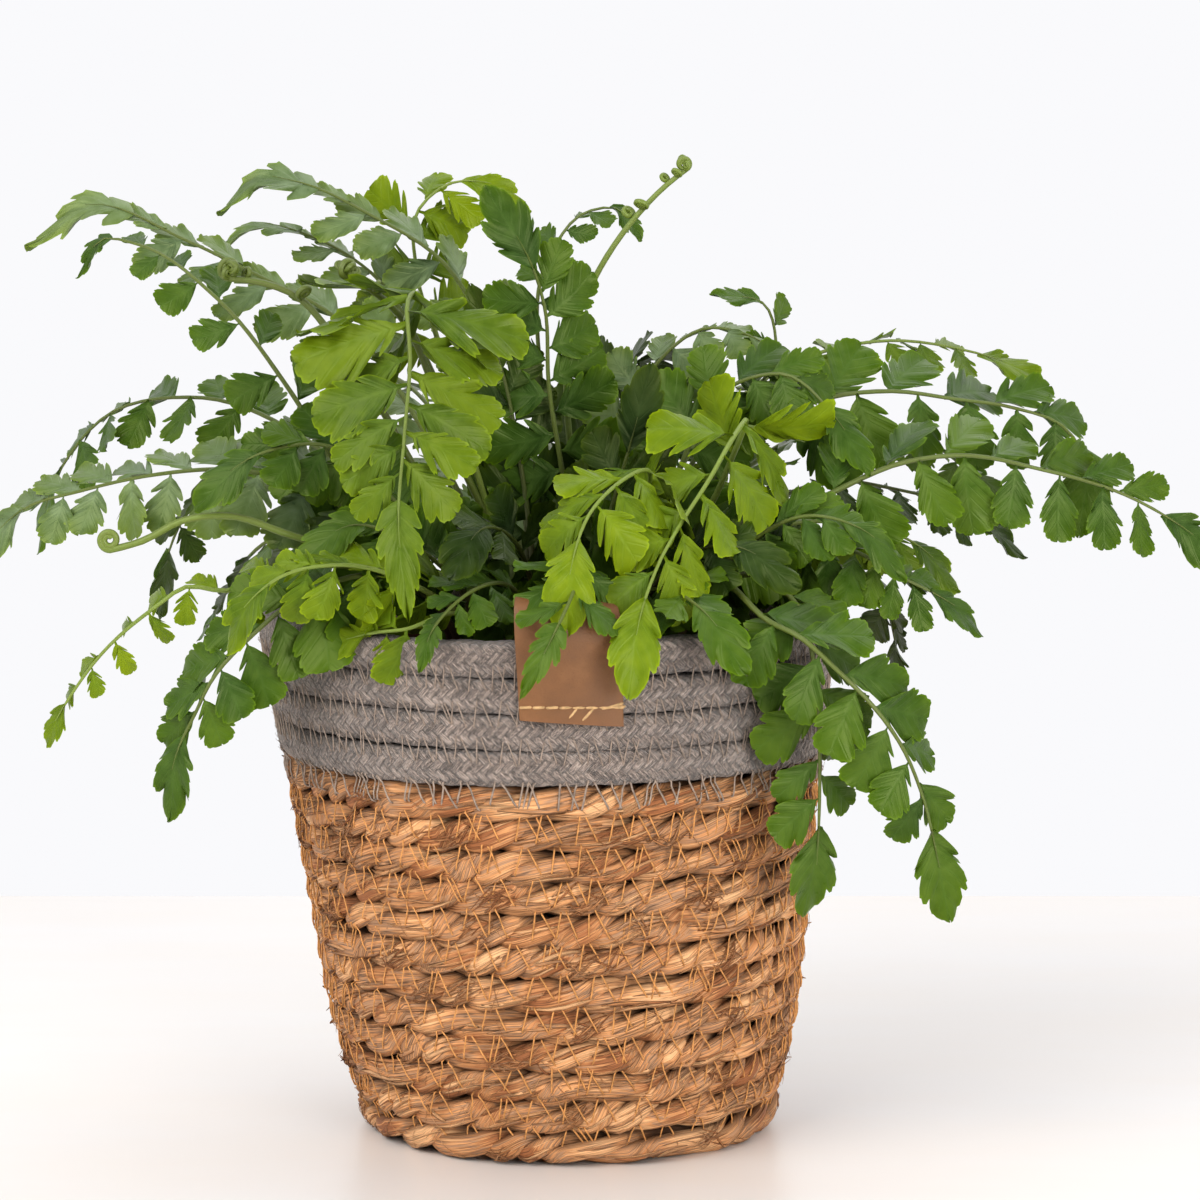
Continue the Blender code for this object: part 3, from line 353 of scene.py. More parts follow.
def swept(paths, ups, section, closed=False):
    """Sections carried along paths.

    A point is the path's point, plus the section's first number times the upper side there, plus its second
    times the right side, which is the cross product of the way ahead and the upper side. Paths are an array
    of (count, rings, 3), and the section of (sides, 2) or (count, rings, sides, 2)."""
    if closed:
        ahead = np.roll(paths, -1, axis=1) - np.roll(paths, 1, axis=1)
    else:
        ahead = np.gradient(paths, axis=1)
    ahead = unit(ahead)
    up = unit(ups - ahead * (ups * ahead).sum(axis=-1, keepdims=True))
    right = np.cross(ahead, up)
    return paths[:, :, None] + section[..., :1] * up[:, :, None] + section[..., 1:] * right[:, :, None]


def ellipse(sides, up, right):
    """An ellipse's points: half height times cosine, half width times sine, each of any shape."""
    angle = np.arange(sides) * FULL_TURN / sides
    up, right = np.asarray(up, float)[..., None], np.asarray(right, float)[..., None]
    return np.stack(np.broadcast_arrays(up * np.cos(angle), right * np.sin(angle)), axis=-1)


def unwrapped(places, sizes, period):
    """UV places of corners whose faces don't run back across the start of a closed surface."""
    most = np.repeat(np.maximum.reduceat(places, np.cumsum(sizes) - sizes, axis=0), sizes, axis=0)
    return places + period * (most - places > 0.5 * np.asarray(period))


def make_piece(name, points, faces, finishes, values=None, maps=None, period=(1e9, 1e9), finish_of=None,
               sharp=None):
    """A mesh object from arrays: points, quads or triangles, and per point four values and a UV place."""
    used, points = faces >= 0, points.reshape(-1, 3)
    corners, sizes = faces[used], used.sum(axis=1)
    mesh = bpy.data.meshes.new(name)
    mesh.vertices.add(len(points))
    mesh.vertices.foreach_set("co", np.ascontiguousarray(points, np.float32).ravel())
    mesh.loops.add(len(corners))
    mesh.loops.foreach_set("vertex_index", corners.astype(np.int32))
    mesh.polygons.add(len(faces))
    mesh.polygons.foreach_set("loop_start", (np.cumsum(sizes) - sizes).astype(np.int32))
    if finish_of is not None:
        mesh.polygons.foreach_set("material_index", finish_of.astype(np.int32))
    mesh.update(calc_edges=True)
    mesh.shade_smooth()
    if sharp is not None:
        mesh.set_sharp_from_angle(angle=sharp)
    if maps is not None:
        layer = mesh.uv_layers.new(name="along")
        layer.uv.foreach_set("vector", unwrapped(maps[corners], sizes, period).astype(np.float32).ravel())
    if values is not None:
        marks = mesh.attributes.new("marks", "FLOAT_COLOR", "POINT")
        marks.data.foreach_set("color", values.astype(np.float32).ravel())
    for finish in finishes:
        mesh.materials.append(finish)
    piece = bpy.data.objects.new(name, mesh)
    bpy.context.scene.collection.objects.link(piece)
    return piece


def settle(piece, slot, *nodes):
    """Ties a piece to the model: its body and the nodes that it stands for. The slot is not used."""
    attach(piece, "root")
    if nodes:
        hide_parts(*nodes)


def four(*columns):
    """Four columns of values of any like shapes, as an array of (points, 4)."""
    columns = [np.asarray(column, float) for column in columns]
    columns += [np.zeros(1)] * (4 - len(columns))
    return np.stack(np.broadcast_arrays(*columns), axis=-1).reshape(-1, 4)


class Finish:
    """A material under construction, with short ways to add the nodes that feed its shader."""

    def __init__(self, name, roughness, **sockets):
        self.material = bpy.data.materials.new(name)
        self.material.use_nodes = True
        self.nodes, self.links = self.material.node_tree.nodes, self.material.node_tree.links
        self.shader = self.nodes["Principled BSDF"]
        self.shader.inputs["Roughness"].default_value = roughness
        for socket, value in sockets.items():
            self.shader.inputs[socket.replace("_", " ")].default_value = value

    def add(self, kind, *inputs, **settings):
        """A node with its settings, and its inputs in order, each a socket, a value or None."""
        node = self.nodes.new(kind)
        for name, value in settings.items():
            setattr(node, name, value)
        for place, value in enumerate(inputs):
            if isinstance(value, bpy.types.NodeSocket):
                self.links.new(value, node.inputs[place])
            elif value is not None:
                node.inputs[place].default_value = value
        return node

    def math(self, operation, first, second=None, clamp=False):
        return self.add("ShaderNodeMath", first, second, operation=operation, use_clamp=clamp).outputs[0]

    def marks(self):
        """The piece's own values: three sockets."""
        read = self.add("ShaderNodeAttribute", attribute_name="marks")
        return self.add("ShaderNodeSeparateColor", read.outputs["Color"]).outputs[:3]

    def along(self):
        return self.add("ShaderNodeUVMap", uv_map="along").outputs[0]

    def place(self):
        return self.add("ShaderNodeTexCoord").outputs["Object"]

    def scaled(self, where, scale):
        node = self.add("ShaderNodeMapping", where)
        node.inputs["Scale"].default_value = scale
        return node.outputs[0]

    def noise(self, where, scale, detail=3.0, roughness=0.5):
        node = self.add("ShaderNodeTexNoise")
        self.links.new(where, node.inputs["Vector"])
        node.inputs["Scale"].default_value = scale
        node.inputs["Detail"].default_value = detail
        node.inputs["Roughness"].default_value = roughness
        return node.outputs[0]

    def ramp(self, factor, *stops):
        """A colour ramp whose stops are (place, colour)."""
        node = self.add("ShaderNodeValToRGB", factor)
        ends = node.color_ramp.elements
        while len(ends) < len(stops):
            ends.new(0.5)
        for end, (place, colour) in zip(ends, stops):
            end.position, end.color = place, (*colour[:3], 1.0)
        return node.outputs[0]

    def mix(self, factor, first, second, blend="MIX"):
        node = self.add("ShaderNodeMix", data_type="RGBA", blend_type=blend)
        for place, value in ((0, factor), (6, first), (7, second)):
            if isinstance(value, bpy.types.NodeSocket):
                self.links.new(value, node.inputs[place])
            elif place:
                node.inputs[place].default_value = (*value[:3], 1.0)
            else:
                node.inputs[place].default_value = value
        return node.outputs[2]

    def stretch(self, value, low, high, to_low=0.0, to_high=1.0):
        node = self.add("ShaderNodeMapRange", value, low, high, to_low, to_high, clamp=True)
        return node.outputs[0]

    def done(self, colour, height=None, depth=0.0, roughness=None):
        """Feeds the shader its colour, and relief of a depth in metres where there is a height."""
        self.links.new(colour, self.shader.inputs["Base Color"])
        if height is not None:
            bump = self.add("ShaderNodeBump")
            bump.inputs["Distance"].default_value = depth
            self.links.new(height, bump.inputs["Height"])
            self.links.new(bump.outputs[0], self.shader.inputs["Normal"])
        if roughness is not None:
            self.links.new(roughness, self.shader.inputs["Roughness"])
        return self.material


def colour_property(name, description, default):
    return FloatVectorProperty(name=name, description=description, default=default, size=3, min=0.0, max=1.0,
                               subtype="COLOR")


def length_property(name, description, default):
    return FloatProperty(name=name, description=description, default=default, min=0.0, unit="LENGTH",
                         precision=5)


class BraidSettings(PropertyGroup):
    """Sizes, loose fibres and browns of the braid"""
    lay: length_property("Lay", "Length along the row in which a strand winds once round the braid", 0.037)
    strand_height: length_property("Strand height", "Half height of a strand where it is widest", 0.0029)
    strand_depth: length_property("Strand depth", "Half depth of a strand", 0.0019)
    swing_out: length_property("Swing out", "How far a strand moves in and out", 0.0024)
    swing_up: length_property("Swing up", "How far a strand moves up and down", 0.0021)
    slivers: IntProperty(name="Slivers", description="Loose ribbons of leaf that peel off the braid",
                         default=1050, min=0)
    hairs: IntProperty(name="Hairs", description="Fibres that stand off the braid", default=420, min=0)
    tufts: IntProperty(name="Tufts", description="Frayed bunches of fibre in the braid", default=95, min=0)
    straw: colour_property("Straw", "Palest reed", (0.88, 0.49, 0.235))
    tan: colour_property("Tan", "Commonest reed", (0.70, 0.315, 0.12))
    russet: colour_property("Russet", "Reddish reed", (0.36, 0.13, 0.045))
    ash: colour_property("Ash", "Greyish reed", (0.41, 0.235, 0.135))
    # Gap is the colour of painted shade, which the finish mixes into the strands' edges and the parts that
    # lie further in
    gap: colour_property("Gap", "Depth between the strands", (0.05, 0.022, 0.009))


class RopeSettings(PropertyGroup):
    """Sizes and greys of the cotton rope"""
    cell: length_property("Cell", "Width of one strand of the rope's braid", 0.0018)
    lift: length_property("Lift", "How far a crossing stands out", 0.0003)
    fuzz: IntProperty(name="Fuzz", description="Cotton hairs on the rope", default=4200, min=0)
    light: colour_property("Light cotton", "Light yarns", (0.63, 0.505, 0.43))
    middle: colour_property("Cotton", "Commonest yarns", (0.188, 0.146, 0.124))
    # Dark cotton is also the colour of the painted shade between yarns, round each float and in the grooves
    dark: colour_property("Dark cotton", "Dark yarns", (0.045, 0.038, 0.034))


class ThreadSettings(PropertyGroup):
    """Sizes and colours of the sewing threads"""
    thickness: length_property("Thickness", "Thickness of the sewing thread", 0.00041)
    period_top: length_property("Upper period", "Length of one zigzag under the rim", 0.0072)
    period_foot: length_property("Lower period", "Length of one zigzag at the foot", 0.0086)
    gold: colour_property("Gold thread", "Thread that sews the braid", (0.67, 0.31, 0.098))
    grey: colour_property("Grey thread", "Thread that sews the rope", (0.36, 0.28, 0.225))


class TagSettings(PropertyGroup):
    """Browns of the leather tag, and its thread"""
    leather: colour_property("Leather", "Face of the tag", (0.190, 0.079, 0.025))
    worn: colour_property("Worn leather", "Rubbed patches", (0.25, 0.115, 0.044))
    thread: colour_property("Tag thread", "Thread that sews the tag", (0.66, 0.42, 0.20))
    thread_thickness: length_property("Tag thread thickness", "Thickness of the tag's thread", 0.00075)


class PotSettings(PropertyGroup):
    """Colours of what stands in the basket"""
    plastic: colour_property("Plastic", "Nursery pot", (0.12, 0.05, 0.028))
    film: colour_property("Film", "Liner", (0.05, 0.05, 0.052))
    earth: colour_property("Soil", "Damp potting soil", (0.045, 0.026, 0.016))
    crumbs: IntProperty(name="Crumbs", description="Loose crumbs on the soil", default=420, min=0)


class FernSettings(PropertyGroup):
    """Growth and greens of the fern"""
    outgrow: FloatProperty(name="Outgrow", description="Size of the leaflets against the model's plain ones",
                           default=1.26, min=0.5, max=1.5)
    thickness: length_property("Thickness", "Thickness of a leaflet in its middle", 0.00028)
    forward: FloatProperty(name="Forward", description="Share of each cut's lean towards its frond's tip",
                           default=1.0)
    droop: FloatProperty(name="Droop", description="Fall of the leaflets below their stem",
                         default=math.radians(10), subtype="ANGLE")
    weight: FloatProperty(name="Weight", description="Pull of the leaflets straight down", default=0.12)
    # Deep is partly the darker green of old leaflets and partly painted shade, for the fronds low inside and
    # at the back of the plant
    deep: colour_property("Deep", "Old leaflets", (0.014, 0.034, 0.0015))
    green: colour_property("Green", "Grown leaflets", (0.033, 0.079, 0.002))
    # Their silvery look comes mostly from the painted sheen, of which they get the most
    silver: colour_property("Silver", "Waxy leaflets at the top", (0.060, 0.108, 0.008))
    pale: colour_property("Pale", "Young leaflets", (0.070, 0.122, 0.002))
    lime: colour_property("Lime", "Newest leaflets", (0.104, 0.168, 0.003))
    # The colour of a painted sheen on the leaflets
    painted_sheen_colour: colour_property("Wax", "Bloom on the leaflets", (0.19, 0.26, 0.17))
    stem: colour_property("Stem", "Stalk of a frond", (0.11, 0.16, 0.02))
    stem_foot: colour_property("Stem foot", "Stalk near the soil", (0.05, 0.028, 0.016))


class StageSettings(PropertyGroup):
    """Place of the camera, the table and the light"""
    distance: length_property("Distance", "Camera's distance in front of the basket's axis", 1.058)
    height: length_property("Height", "Camera's height", 0.2485)
    pitch: FloatProperty(name="Pitch", description="Camera's angle below level",
                         default=math.radians(6.34), subtype="ANGLE")
    lens: FloatProperty(name="Lens", description="Focal length in millimetres", default=129.15)
    shift: FloatProperty(name="Shift", description="Framing, as a share of the picture's width",
                         default=0.0258)
    table_edge: length_property("Table edge", "Distance of the table's far edge behind the basket", 0.324)
    wall: colour_property("Wall", "Light of the wall behind the plant", (0.955, 0.955, 0.975))
    room: FloatProperty(name="Room", description="Light of the room in front against the wall's", default=0.4)
    table: colour_property("Table", "Table top", (0.82, 0.80, 0.79))


class Plait:
    """Three strands that wind round each other along level rings of the basket."""

    def __init__(self, settings, radii, heights, tilts, chance):
        self.settings, self.radii, self.heights, self.tilts = settings, radii, heights, tilts
        rows = len(radii)
        self.winds = np.maximum(2, np.round(FULL_TURN * radii / settings.lay + chance.uniform(-1, 1, rows)))
        self.offsets = chance.uniform(0, FULL_TURN, (rows, 4, 3))
        self.stretch = chance.uniform(0.35, 0.8, (rows, 1))

    def phase(self, row, strand, turn):
        """Winding angle: even turns, plus slow waves that make long and short stretches."""
        waves = sum(np.sin(k * turn + self.offsets[row, 0, i]) / n
                    for i, (k, n) in enumerate(((2, 1.2), (5, 1.6), (11, 3.4))))
        even = self.winds[row] * turn + self.offsets[row, 3, 0]
        return even + 2.2 * self.stretch[row, 0] * waves + FULL_TURN * strand / 3

    def centre(self, row, strand, turn):
        """A strand's middle line: out by the cosine of its phase and up by the sine, on the tilted row."""
        phase, tilt = self.phase(row, strand, turn), self.tilts[row]
        out = self.settings.swing_out * np.cos(phase)
        up = self.settings.swing_up * np.sin(phase) + 0.35 * MM * np.sin(3 * turn + self.offsets[row, 1, 0])
        radius = self.radii[row] + out * np.cos(tilt) + up * np.sin(tilt)
        height = self.heights[row] - out * np.sin(tilt) + up * np.cos(tilt)
        return around(turn, radius, height)

    def size(self, row, strand, turn):
        """Half depth and half height of a strand, which is widest on the outer face."""
        swell = 1 + 0.10 * np.sin(4 * turn + self.offsets[row, 1, 1] + 2 * strand)
        wide = 0.86 + 0.16 * np.cos(self.phase(row, strand, turn))
        return self.settings.strand_depth * swell, self.settings.strand_height * wide * swell

    def skin(self, row, strand, turn, angle, proud=1.0):
        """Points on a strand, at an angle from its outermost line."""
        depth, height = self.size(row, strand, turn)
        out = facing(turn, self.tilts[row])
        rise = facing(turn, self.tilts[row] - 0.5 * math.pi)
        return (self.centre(row, strand, turn) + (proud * depth * np.cos(angle))[..., None] * out
                + (proud * height * np.sin(angle))[..., None] * rise)


def braid_layout(settings):
    """Radius, height and tilt of each row: the wall's rows, the roll at the foot, and the coil under it."""
    reach = settings.swing_out + settings.strand_depth
    heights = BRAID_TOP - (np.arange(BRAID_ROWS - 1) + 0.5) * ROW_PITCH
    radii = wall_radius(heights) - reach
    tilts = np.full(len(heights), math.atan(TAPER))
    under = np.arange(FOOT_RADIUS, FOOT_HOLE, -ROW_PITCH)
    radii = np.concatenate([radii, [ROLL_RADIUS], under])
    heights = np.concatenate([heights, [ROLL_MIDDLE], np.full(len(under), FOOT_MIDDLE)])
    tilts = np.concatenate([tilts, [ROLL_TILT], np.full(len(under), 0.5 * math.pi)])
    return radii, heights, tilts


def strands(plait, row, rings, sides, chance):
    """The three closed strands of one row, with their values and UV places.

    A strand's section is an ellipse times one plus a sum of sines of the angle round it, whose phases drift
    along it, which gives it lengthwise folds. Its fibres run straight, but slant where a sum of sines is
    high."""
    turn = math.pi + np.arange(rings)[None, :, None] * FULL_TURN / rings
    strand = np.arange(3)[:, None, None]
    angle = np.arange(sides) * FULL_TURN / sides + 0.35 * np.sin(np.arange(sides) * FULL_TURN / sides)
    folds = sum(depth * np.sin(count * angle + drift * turn + chance.uniform(0, FULL_TURN, (3, 1, 1)))
                for count, drift, depth in ((2, 9, 0.035), (3, -14, 0.04), (5, 11, 0.035), (7, -23, 0.03)))
    depth, height = plait.size(row, strand, turn)
    section = np.stack([depth * (1 + folds) * np.cos(angle), -height * (1 + folds) * np.sin(angle)], axis=-1)
    paths = plait.centre(row, strand[..., 0], turn[..., 0])
    ups = np.broadcast_to(facing(turn[..., 0], plait.tilts[row]), paths.shape)
    points = swept(paths, ups, section, closed=True)
    points[..., 2] = np.maximum(points[..., 2], 0.0)
    # Painted shade: the further in a point of a strand's skin lies, the higher its shade
    out = plait.settings.swing_out * np.cos(plait.phase(row, strand, turn)) + depth * np.cos(angle)
    shade = np.clip(0.5 - out / (2 * (plait.settings.swing_out + plait.settings.strand_depth)), 0, 1)
    tone = 0.5 + sum(0.2 * np.sin(k * turn + chance.uniform(0, FULL_TURN, (3, 1, 1))) for k in (2, 5, 9, 17))
    tone = tone + chance.uniform(-0.24, 0.24, (3, 1, 1))
    slants = sum(np.sin(k * turn + chance.uniform(0, FULL_TURN, (3, 1, 1))) for k in (7, 13, 22))
    slant = np.clip(1.3 * slants - 1.2, 0, 1)
    step = FULL_TURN * plait.radii[row] / rings
    tone = tone + (0.42 - tone) * slant
    length = plait.radii[row] * turn + chance.uniform(0, 9, (3, 1, 1))
    round_it = angle * plait.settings.strand_height - 1.3 * step * np.cumsum(slant, axis=1)
    maps = np.stack(np.broadcast_arrays(length, round_it), axis=-1)
    period = FULL_TURN * np.array([plait.radii[row], plait.settings.strand_height])
    # Painted shade along the upper and lower edges of each strand's section
    edge = np.abs(np.sin(angle)) ** 5
    return points.reshape(-1, 3), four(tone, shade, edge, 1.0), maps.reshape(-1, 2), period


def hyacinth_finish(settings):
    """Dried leaf: long fibres along each strand, in browns that change from leaf to leaf. Painted shade
    darkens the strands' edges, the parts that lie further in, and thin lines for their folds.
    """
    finish = Finish("braided_water_hyacinth", 0.62, Specular_IOR_Level=0.28)
    tone, shade, edge = finish.marks()
    along, place = finish.along(), finish.place()
    fibre = finish.noise(finish.scaled(along, (95, 3300, 1)), 1.0, 4.0, 0.6)
    streak = finish.noise(finish.scaled(along, (40, 1150, 1)), 1.0, 2.0, 0.5)
    patch = finish.noise(place, 70.0, 2.0)
    varied = finish.math("ADD", tone, finish.stretch(streak, 0.3, 0.7, -0.3, 0.3))
    varied = finish.math("ADD", varied, finish.stretch(patch, 0.3, 0.7, -0.22, 0.22), clamp=True)
    reed = finish.ramp(varied, (0.0, settings.russet), (0.28, settings.tan), (0.52, settings.ash),
                       (0.66, settings.tan), (1.0, settings.straw))
    lines = finish.stretch(fibre, 0.34, 0.52, 0.45, 1.0)
    # Painted shade of folds: thin dark lines where the streak noise crosses its middle
    crease = finish.math("ABSOLUTE", finish.math("SUBTRACT", streak, 0.5))
    lines = finish.math("MULTIPLY", lines, finish.stretch(crease, 0.0, 0.03, 0.28, 1.0))
    reed = finish.mix(1.0, reed, finish.ramp(lines, (0.0, (0, 0, 0)), (1.0, (1, 1, 1))), "MULTIPLY")
    # Painted shade: the strands' edges and the parts that lie further in are darkened towards the gap colour
    colour = finish.mix(finish.stretch(edge, 0.25, 1.0, 0.0, 0.85), reed, times(2.0, settings.gap))
    colour = finish.mix(finish.stretch(shade, 0.20, 0.55, 0.0, 0.92), colour, settings.gap)
    height = finish.math("ADD", finish.math("MULTIPLY", fibre, 0.6), streak)
    return finish.done(colour, height, 0.45 * MM)


class FERN_OT_braid(Operator):
    """Winds three strands of dried leaf along each row of the basket, and coils them under its foot"""
    bl_idname = "fern.braid"
    bl_label = "Braid the Basket"
    RINGS, SIDES = 190, 13

    def execute(self, context):
        settings = context.scene.fern_braid
        finish = hyacinth_finish(settings)
        chance = np.random.default_rng(BRAID_SEED)
        plait = Plait(settings, *braid_layout(settings), chance)
        for row in range(len(plait.radii)):
            if row < BRAID_ROWS:
                name, rings = f"braid_row_{row + 1:02d}", self.RINGS
            else:
                name = f"foot_coil_{row - BRAID_ROWS + 1}"
                rings = max(24, round(self.RINGS * plait.radii[row] / 0.07))
            points, values, maps, period = strands(plait, row, rings, self.SIDES, chance)
            faces = tube_faces(3, rings, self.SIDES, closed=True)[:, ::-1]
            piece = make_piece(name, points, faces, [finish], values, maps, period)
            settle(piece, "water_hyacinth", "basket")
        return {"FINISHED"}


SPLINTER_RINGS = 6


def outer_strand(plait, row, turn):
    """The strand that lies outermost at each place."""
    lying = np.stack([np.cos(plait.phase(row, strand, turn)) for strand in range(3)])
    return lying.argmax(axis=0)


def splinters(plait, chance, count, bunch, lengths, widths, wander, peel, standing, tones):
    """Thin ribbons that follow the strands' skin, each bunch of them close together.

    A ribbon runs along the turn at a steady angle round its strand that drifts by the wander, its ends taper,
    and its far end lifts off by the peel times the cube of its place along it, and by standing evenly."""
    row = np.repeat(chance.integers(0, BRAID_ROWS, count // bunch), bunch)
    start = np.repeat(chance.uniform(0, FULL_TURN, count // bunch), bunch)
    count = len(row)
    start = start + (bunch > 1) * chance.normal(0, 0.03, count)
    strand = outer_strand(plait, row, start)
    length = chance.uniform(*lengths, count)
    t = np.linspace(0, 1, SPLINTER_RINGS)
    way = (length / plait.radii[row])[:, None] * (t - 0.5)
    turn = start[:, None] + way * chance.choice([-1, 1], (count, 1))
    angle = chance.uniform(-1.0, 1.0, (count, 1)) + chance.normal(0, wander, (count, 1)) * (t - 0.5)
    row, strand = row[:, None], strand[:, None]
    paths = plait.skin(row, strand, turn, angle, 1.04)
    out = facing(turn, plait.tilts[row])
    paths = paths + out * (peel * chance.uniform(0, 1, (count, 1)) ** 3 * t**3 + standing * t)[..., None]
    paths[..., 2] = np.maximum(paths[..., 2], 0.9 * MM)
    taper = 0.15 + 0.85 * np.sin(math.pi * np.clip(t, 0.04, 0.96)) ** 0.7
    width = chance.uniform(*widths, (count, 1)) * taper
    points = swept(paths, out, ellipse(4, 0.09 * MM * taper + 0 * width, width))
    tone = chance.uniform(*tones, (count, 1, 1))
    maps = np.stack(np.broadcast_arrays(tone + 0.02 * t[:, None], np.arange(4) * MM), axis=-1)
    return points.reshape(-1, 3), four(tone + 0 * maps[..., 0], 0.0, 0.0, 1.0), maps.reshape(-1, 2)


class FERN_OT_splinters(Operator):
    """Peels ribbons and fibres off the braid"""
    bl_idname = "fern.splinters"
    bl_label = "Fray the Braid"
    IN_TUFT = 16

    def execute(self, context):
        settings = context.scene.fern_braid
        finish = bpy.data.materials["braided_water_hyacinth"]
        plait = Plait(settings, *braid_layout(settings), np.random.default_rng(BRAID_SEED))
        chance = np.random.default_rng(FIBRE_SEED)
        kinds = (  # count, bunch, lengths, half widths, wander, peel, standing and tones
            (settings.slivers, 1, (6 * MM, 20 * MM), (0.25 * MM, 0.7 * MM), 0.5, 1.6 * MM, 0.0, (0.1, 1.1)),
            (settings.hairs, 1, (3 * MM, 8 * MM), (0.07 * MM, 0.12 * MM), 3.0, 1.2 * MM, 0.5 * MM,
             (0.1, 1.1)),
            (settings.tufts * self.IN_TUFT, self.IN_TUFT, (3.5 * MM, 7.5 * MM), (0.12 * MM, 0.32 * MM), 1.5,
             1.3 * MM, 0.3 * MM, (-0.1, 0.5)))
        points, values, maps = (np.concatenate(group) for group in zip(
            *(splinters(plait, chance, *kind) for kind in kinds)))
        faces = tube_faces(len(points) // (4 * SPLINTER_RINGS), SPLINTER_RINGS, 4)
        piece = make_piece("braid_fibres", points, faces, [finish], values, maps)
        settle(piece, "water_hyacinth", "basket")
        return {"FINISHED"}


LEG_PLACES = np.array([0.0, 0.07, 0.28, 0.72, 0.93, 1.0])
LEG_SIDES = 4
DIVE = 1.2 * MM  # how deep both ends of a stitch go in


def thread_legs(start, end, radius_at, thickness):
    """Straight stitches between (turn, height) pairs.

    A stitch runs evenly in turn and height and keeps half its thickness outside the surface's radius, and
    both ends dive into it."""
    t = LEG_PLACES
    turn = start[:, :1] + (end - start)[:, :1] * t
    height = start[:, 1:] + (end - start)[:, 1:] * t
    dive = DIVE * np.maximum(0, np.abs(2 * t - 1) * 6 - 5) ** 1.5
    paths = around(turn, radius_at(height) + 0.5 * thickness - dive, height)
    section = ellipse(LEG_SIDES, 0.5 * thickness, 0.5 * thickness)
    return swept(paths, facing(turn, 0.0), section).reshape(-1, 3)


def sewn(name, legs, finish, slot, node):
    """One piece of all the stitches."""
    points, rings = np.concatenate(legs), len(LEG_PLACES)
    faces = tube_faces(len(points) // (rings * LEG_SIDES), rings, LEG_SIDES)
    settle(make_piece(name, points, faces, [finish]), slot, node)


# A zigzag's two kinds of stitch, as shares of its period: how far each runs along, and half the gap between
LONG_LEG, STEEP_LEG, HALF_GAP = 0.42, 0.20, 0.08


def zigzag(chance, groove, period, above, below, radius, crowd):
    """Stitches that swing across one groove all the way round.

    Each period has a long slanting leg and a steep one, with short steps between them inside the braid. A
    crowd of near stitches follows some of them."""
    count = round(FULL_TURN * radius / period)
    step = FULL_TURN / count
    at = (np.arange(count) + chance.normal(0, 0.11, count)) * step + chance.uniform(0, step)
    jitter = chance.normal(0, 0.45 * MM, (4, count))
    lean = step * (LONG_LEG + chance.normal(0, 0.05, count))
    back = step * (STEEP_LEG + chance.normal(0, 0.05, count))
    fore, aft = at + HALF_GAP * step, at - HALF_GAP * step
    heights = np.array([groove + above, groove - below] * 2)[:, None] + jitter
    ends = np.stack([[fore, fore + lean, aft, aft - back], heights], axis=-1)
    start, end = np.concatenate(ends[::2]), np.concatenate(ends[1::2])
    for number in range(1, 4):
        close = np.flatnonzero(chance.uniform(0, 1, len(start))[:2 * count] < crowd)
        shift = np.array([number * 0.17 * step, 0.0])
        start = np.concatenate([start, start[close] + shift])
        end = np.concatenate([end, end[close] + 0.8 * shift])
    return start, end


def thread_finish(name, colour):
    """Sewing thread with small changes of shade along it."""
    finish = Finish(name, 0.6, Specular_IOR_Level=0.2)
    uneven = finish.noise(finish.place(), 900.0, 2.0)
    return finish.done(finish.ramp(uneven, (0.35, times(0.62, colour)), (0.6, colour)), uneven, 0.1 * MM)


def braid_face(height):
    """Outermost radius that a taut stitch meets on the braid: the wall, less a shallow dip at each groove."""
    place = (BRAID_TOP - height) / ROW_PITCH
    across = np.abs(2 * (place - np.floor(place)) - 1)
    return face_radius(height) - 0.9 * MM * across**3 - 0.1 * MM


class FERN_OT_gold_thread(Operator):
    """Sews each row of the braid to the next with a zigzag of golden thread"""
    bl_idname = "fern.gold_thread"
    bl_label = "Sew the Braid"
    ABOVE, BELOW = 1.4 * MM, 5.2 * MM  # how far a stitch reaches from its groove

    def execute(self, context):
        settings = context.scene.fern_thread
        chance = np.random.default_rng(GOLD_THREAD_SEED)
        finish = thread_finish("gold_thread", settings.gold)
        legs = []
        for groove in range(1, BRAID_ROWS):
            height = BRAID_TOP - groove * ROW_PITCH
            share = groove / (BRAID_ROWS - 1)
            period = settings.period_top + share * (settings.period_foot - settings.period_top)
            start, end = zigzag(chance, height, period, self.ABOVE, self.BELOW, wall_radius(height), 0.05)
            legs.append(thread_legs(start, end, braid_face, settings.thickness))
        sewn("braid_stitches", legs, finish, "water_hyacinth", "basket")
        return {"FINISHED"}


def rope_rows():
    """Heights of the middles of the rope's rows, from the top, and half a row's height."""
    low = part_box("rope_band")[0].z
    half = 0.5 * (RIM_HEIGHT - low) / ROPE_ROWS
    return RIM_HEIGHT - half * (2 * np.arange(ROPE_ROWS) + 1), half


def rope_face(height):
    """Outer radius of the rope band: the wall, less a narrow dip at each groove."""
    middles, half = rope_rows()
    across = np.abs(height[..., None] - middles).min(axis=-1) / half
    return wall_radius(height) + ROPE_PROUD - 1.1 * MM * np.clip(across, 0, 1.2) ** 6


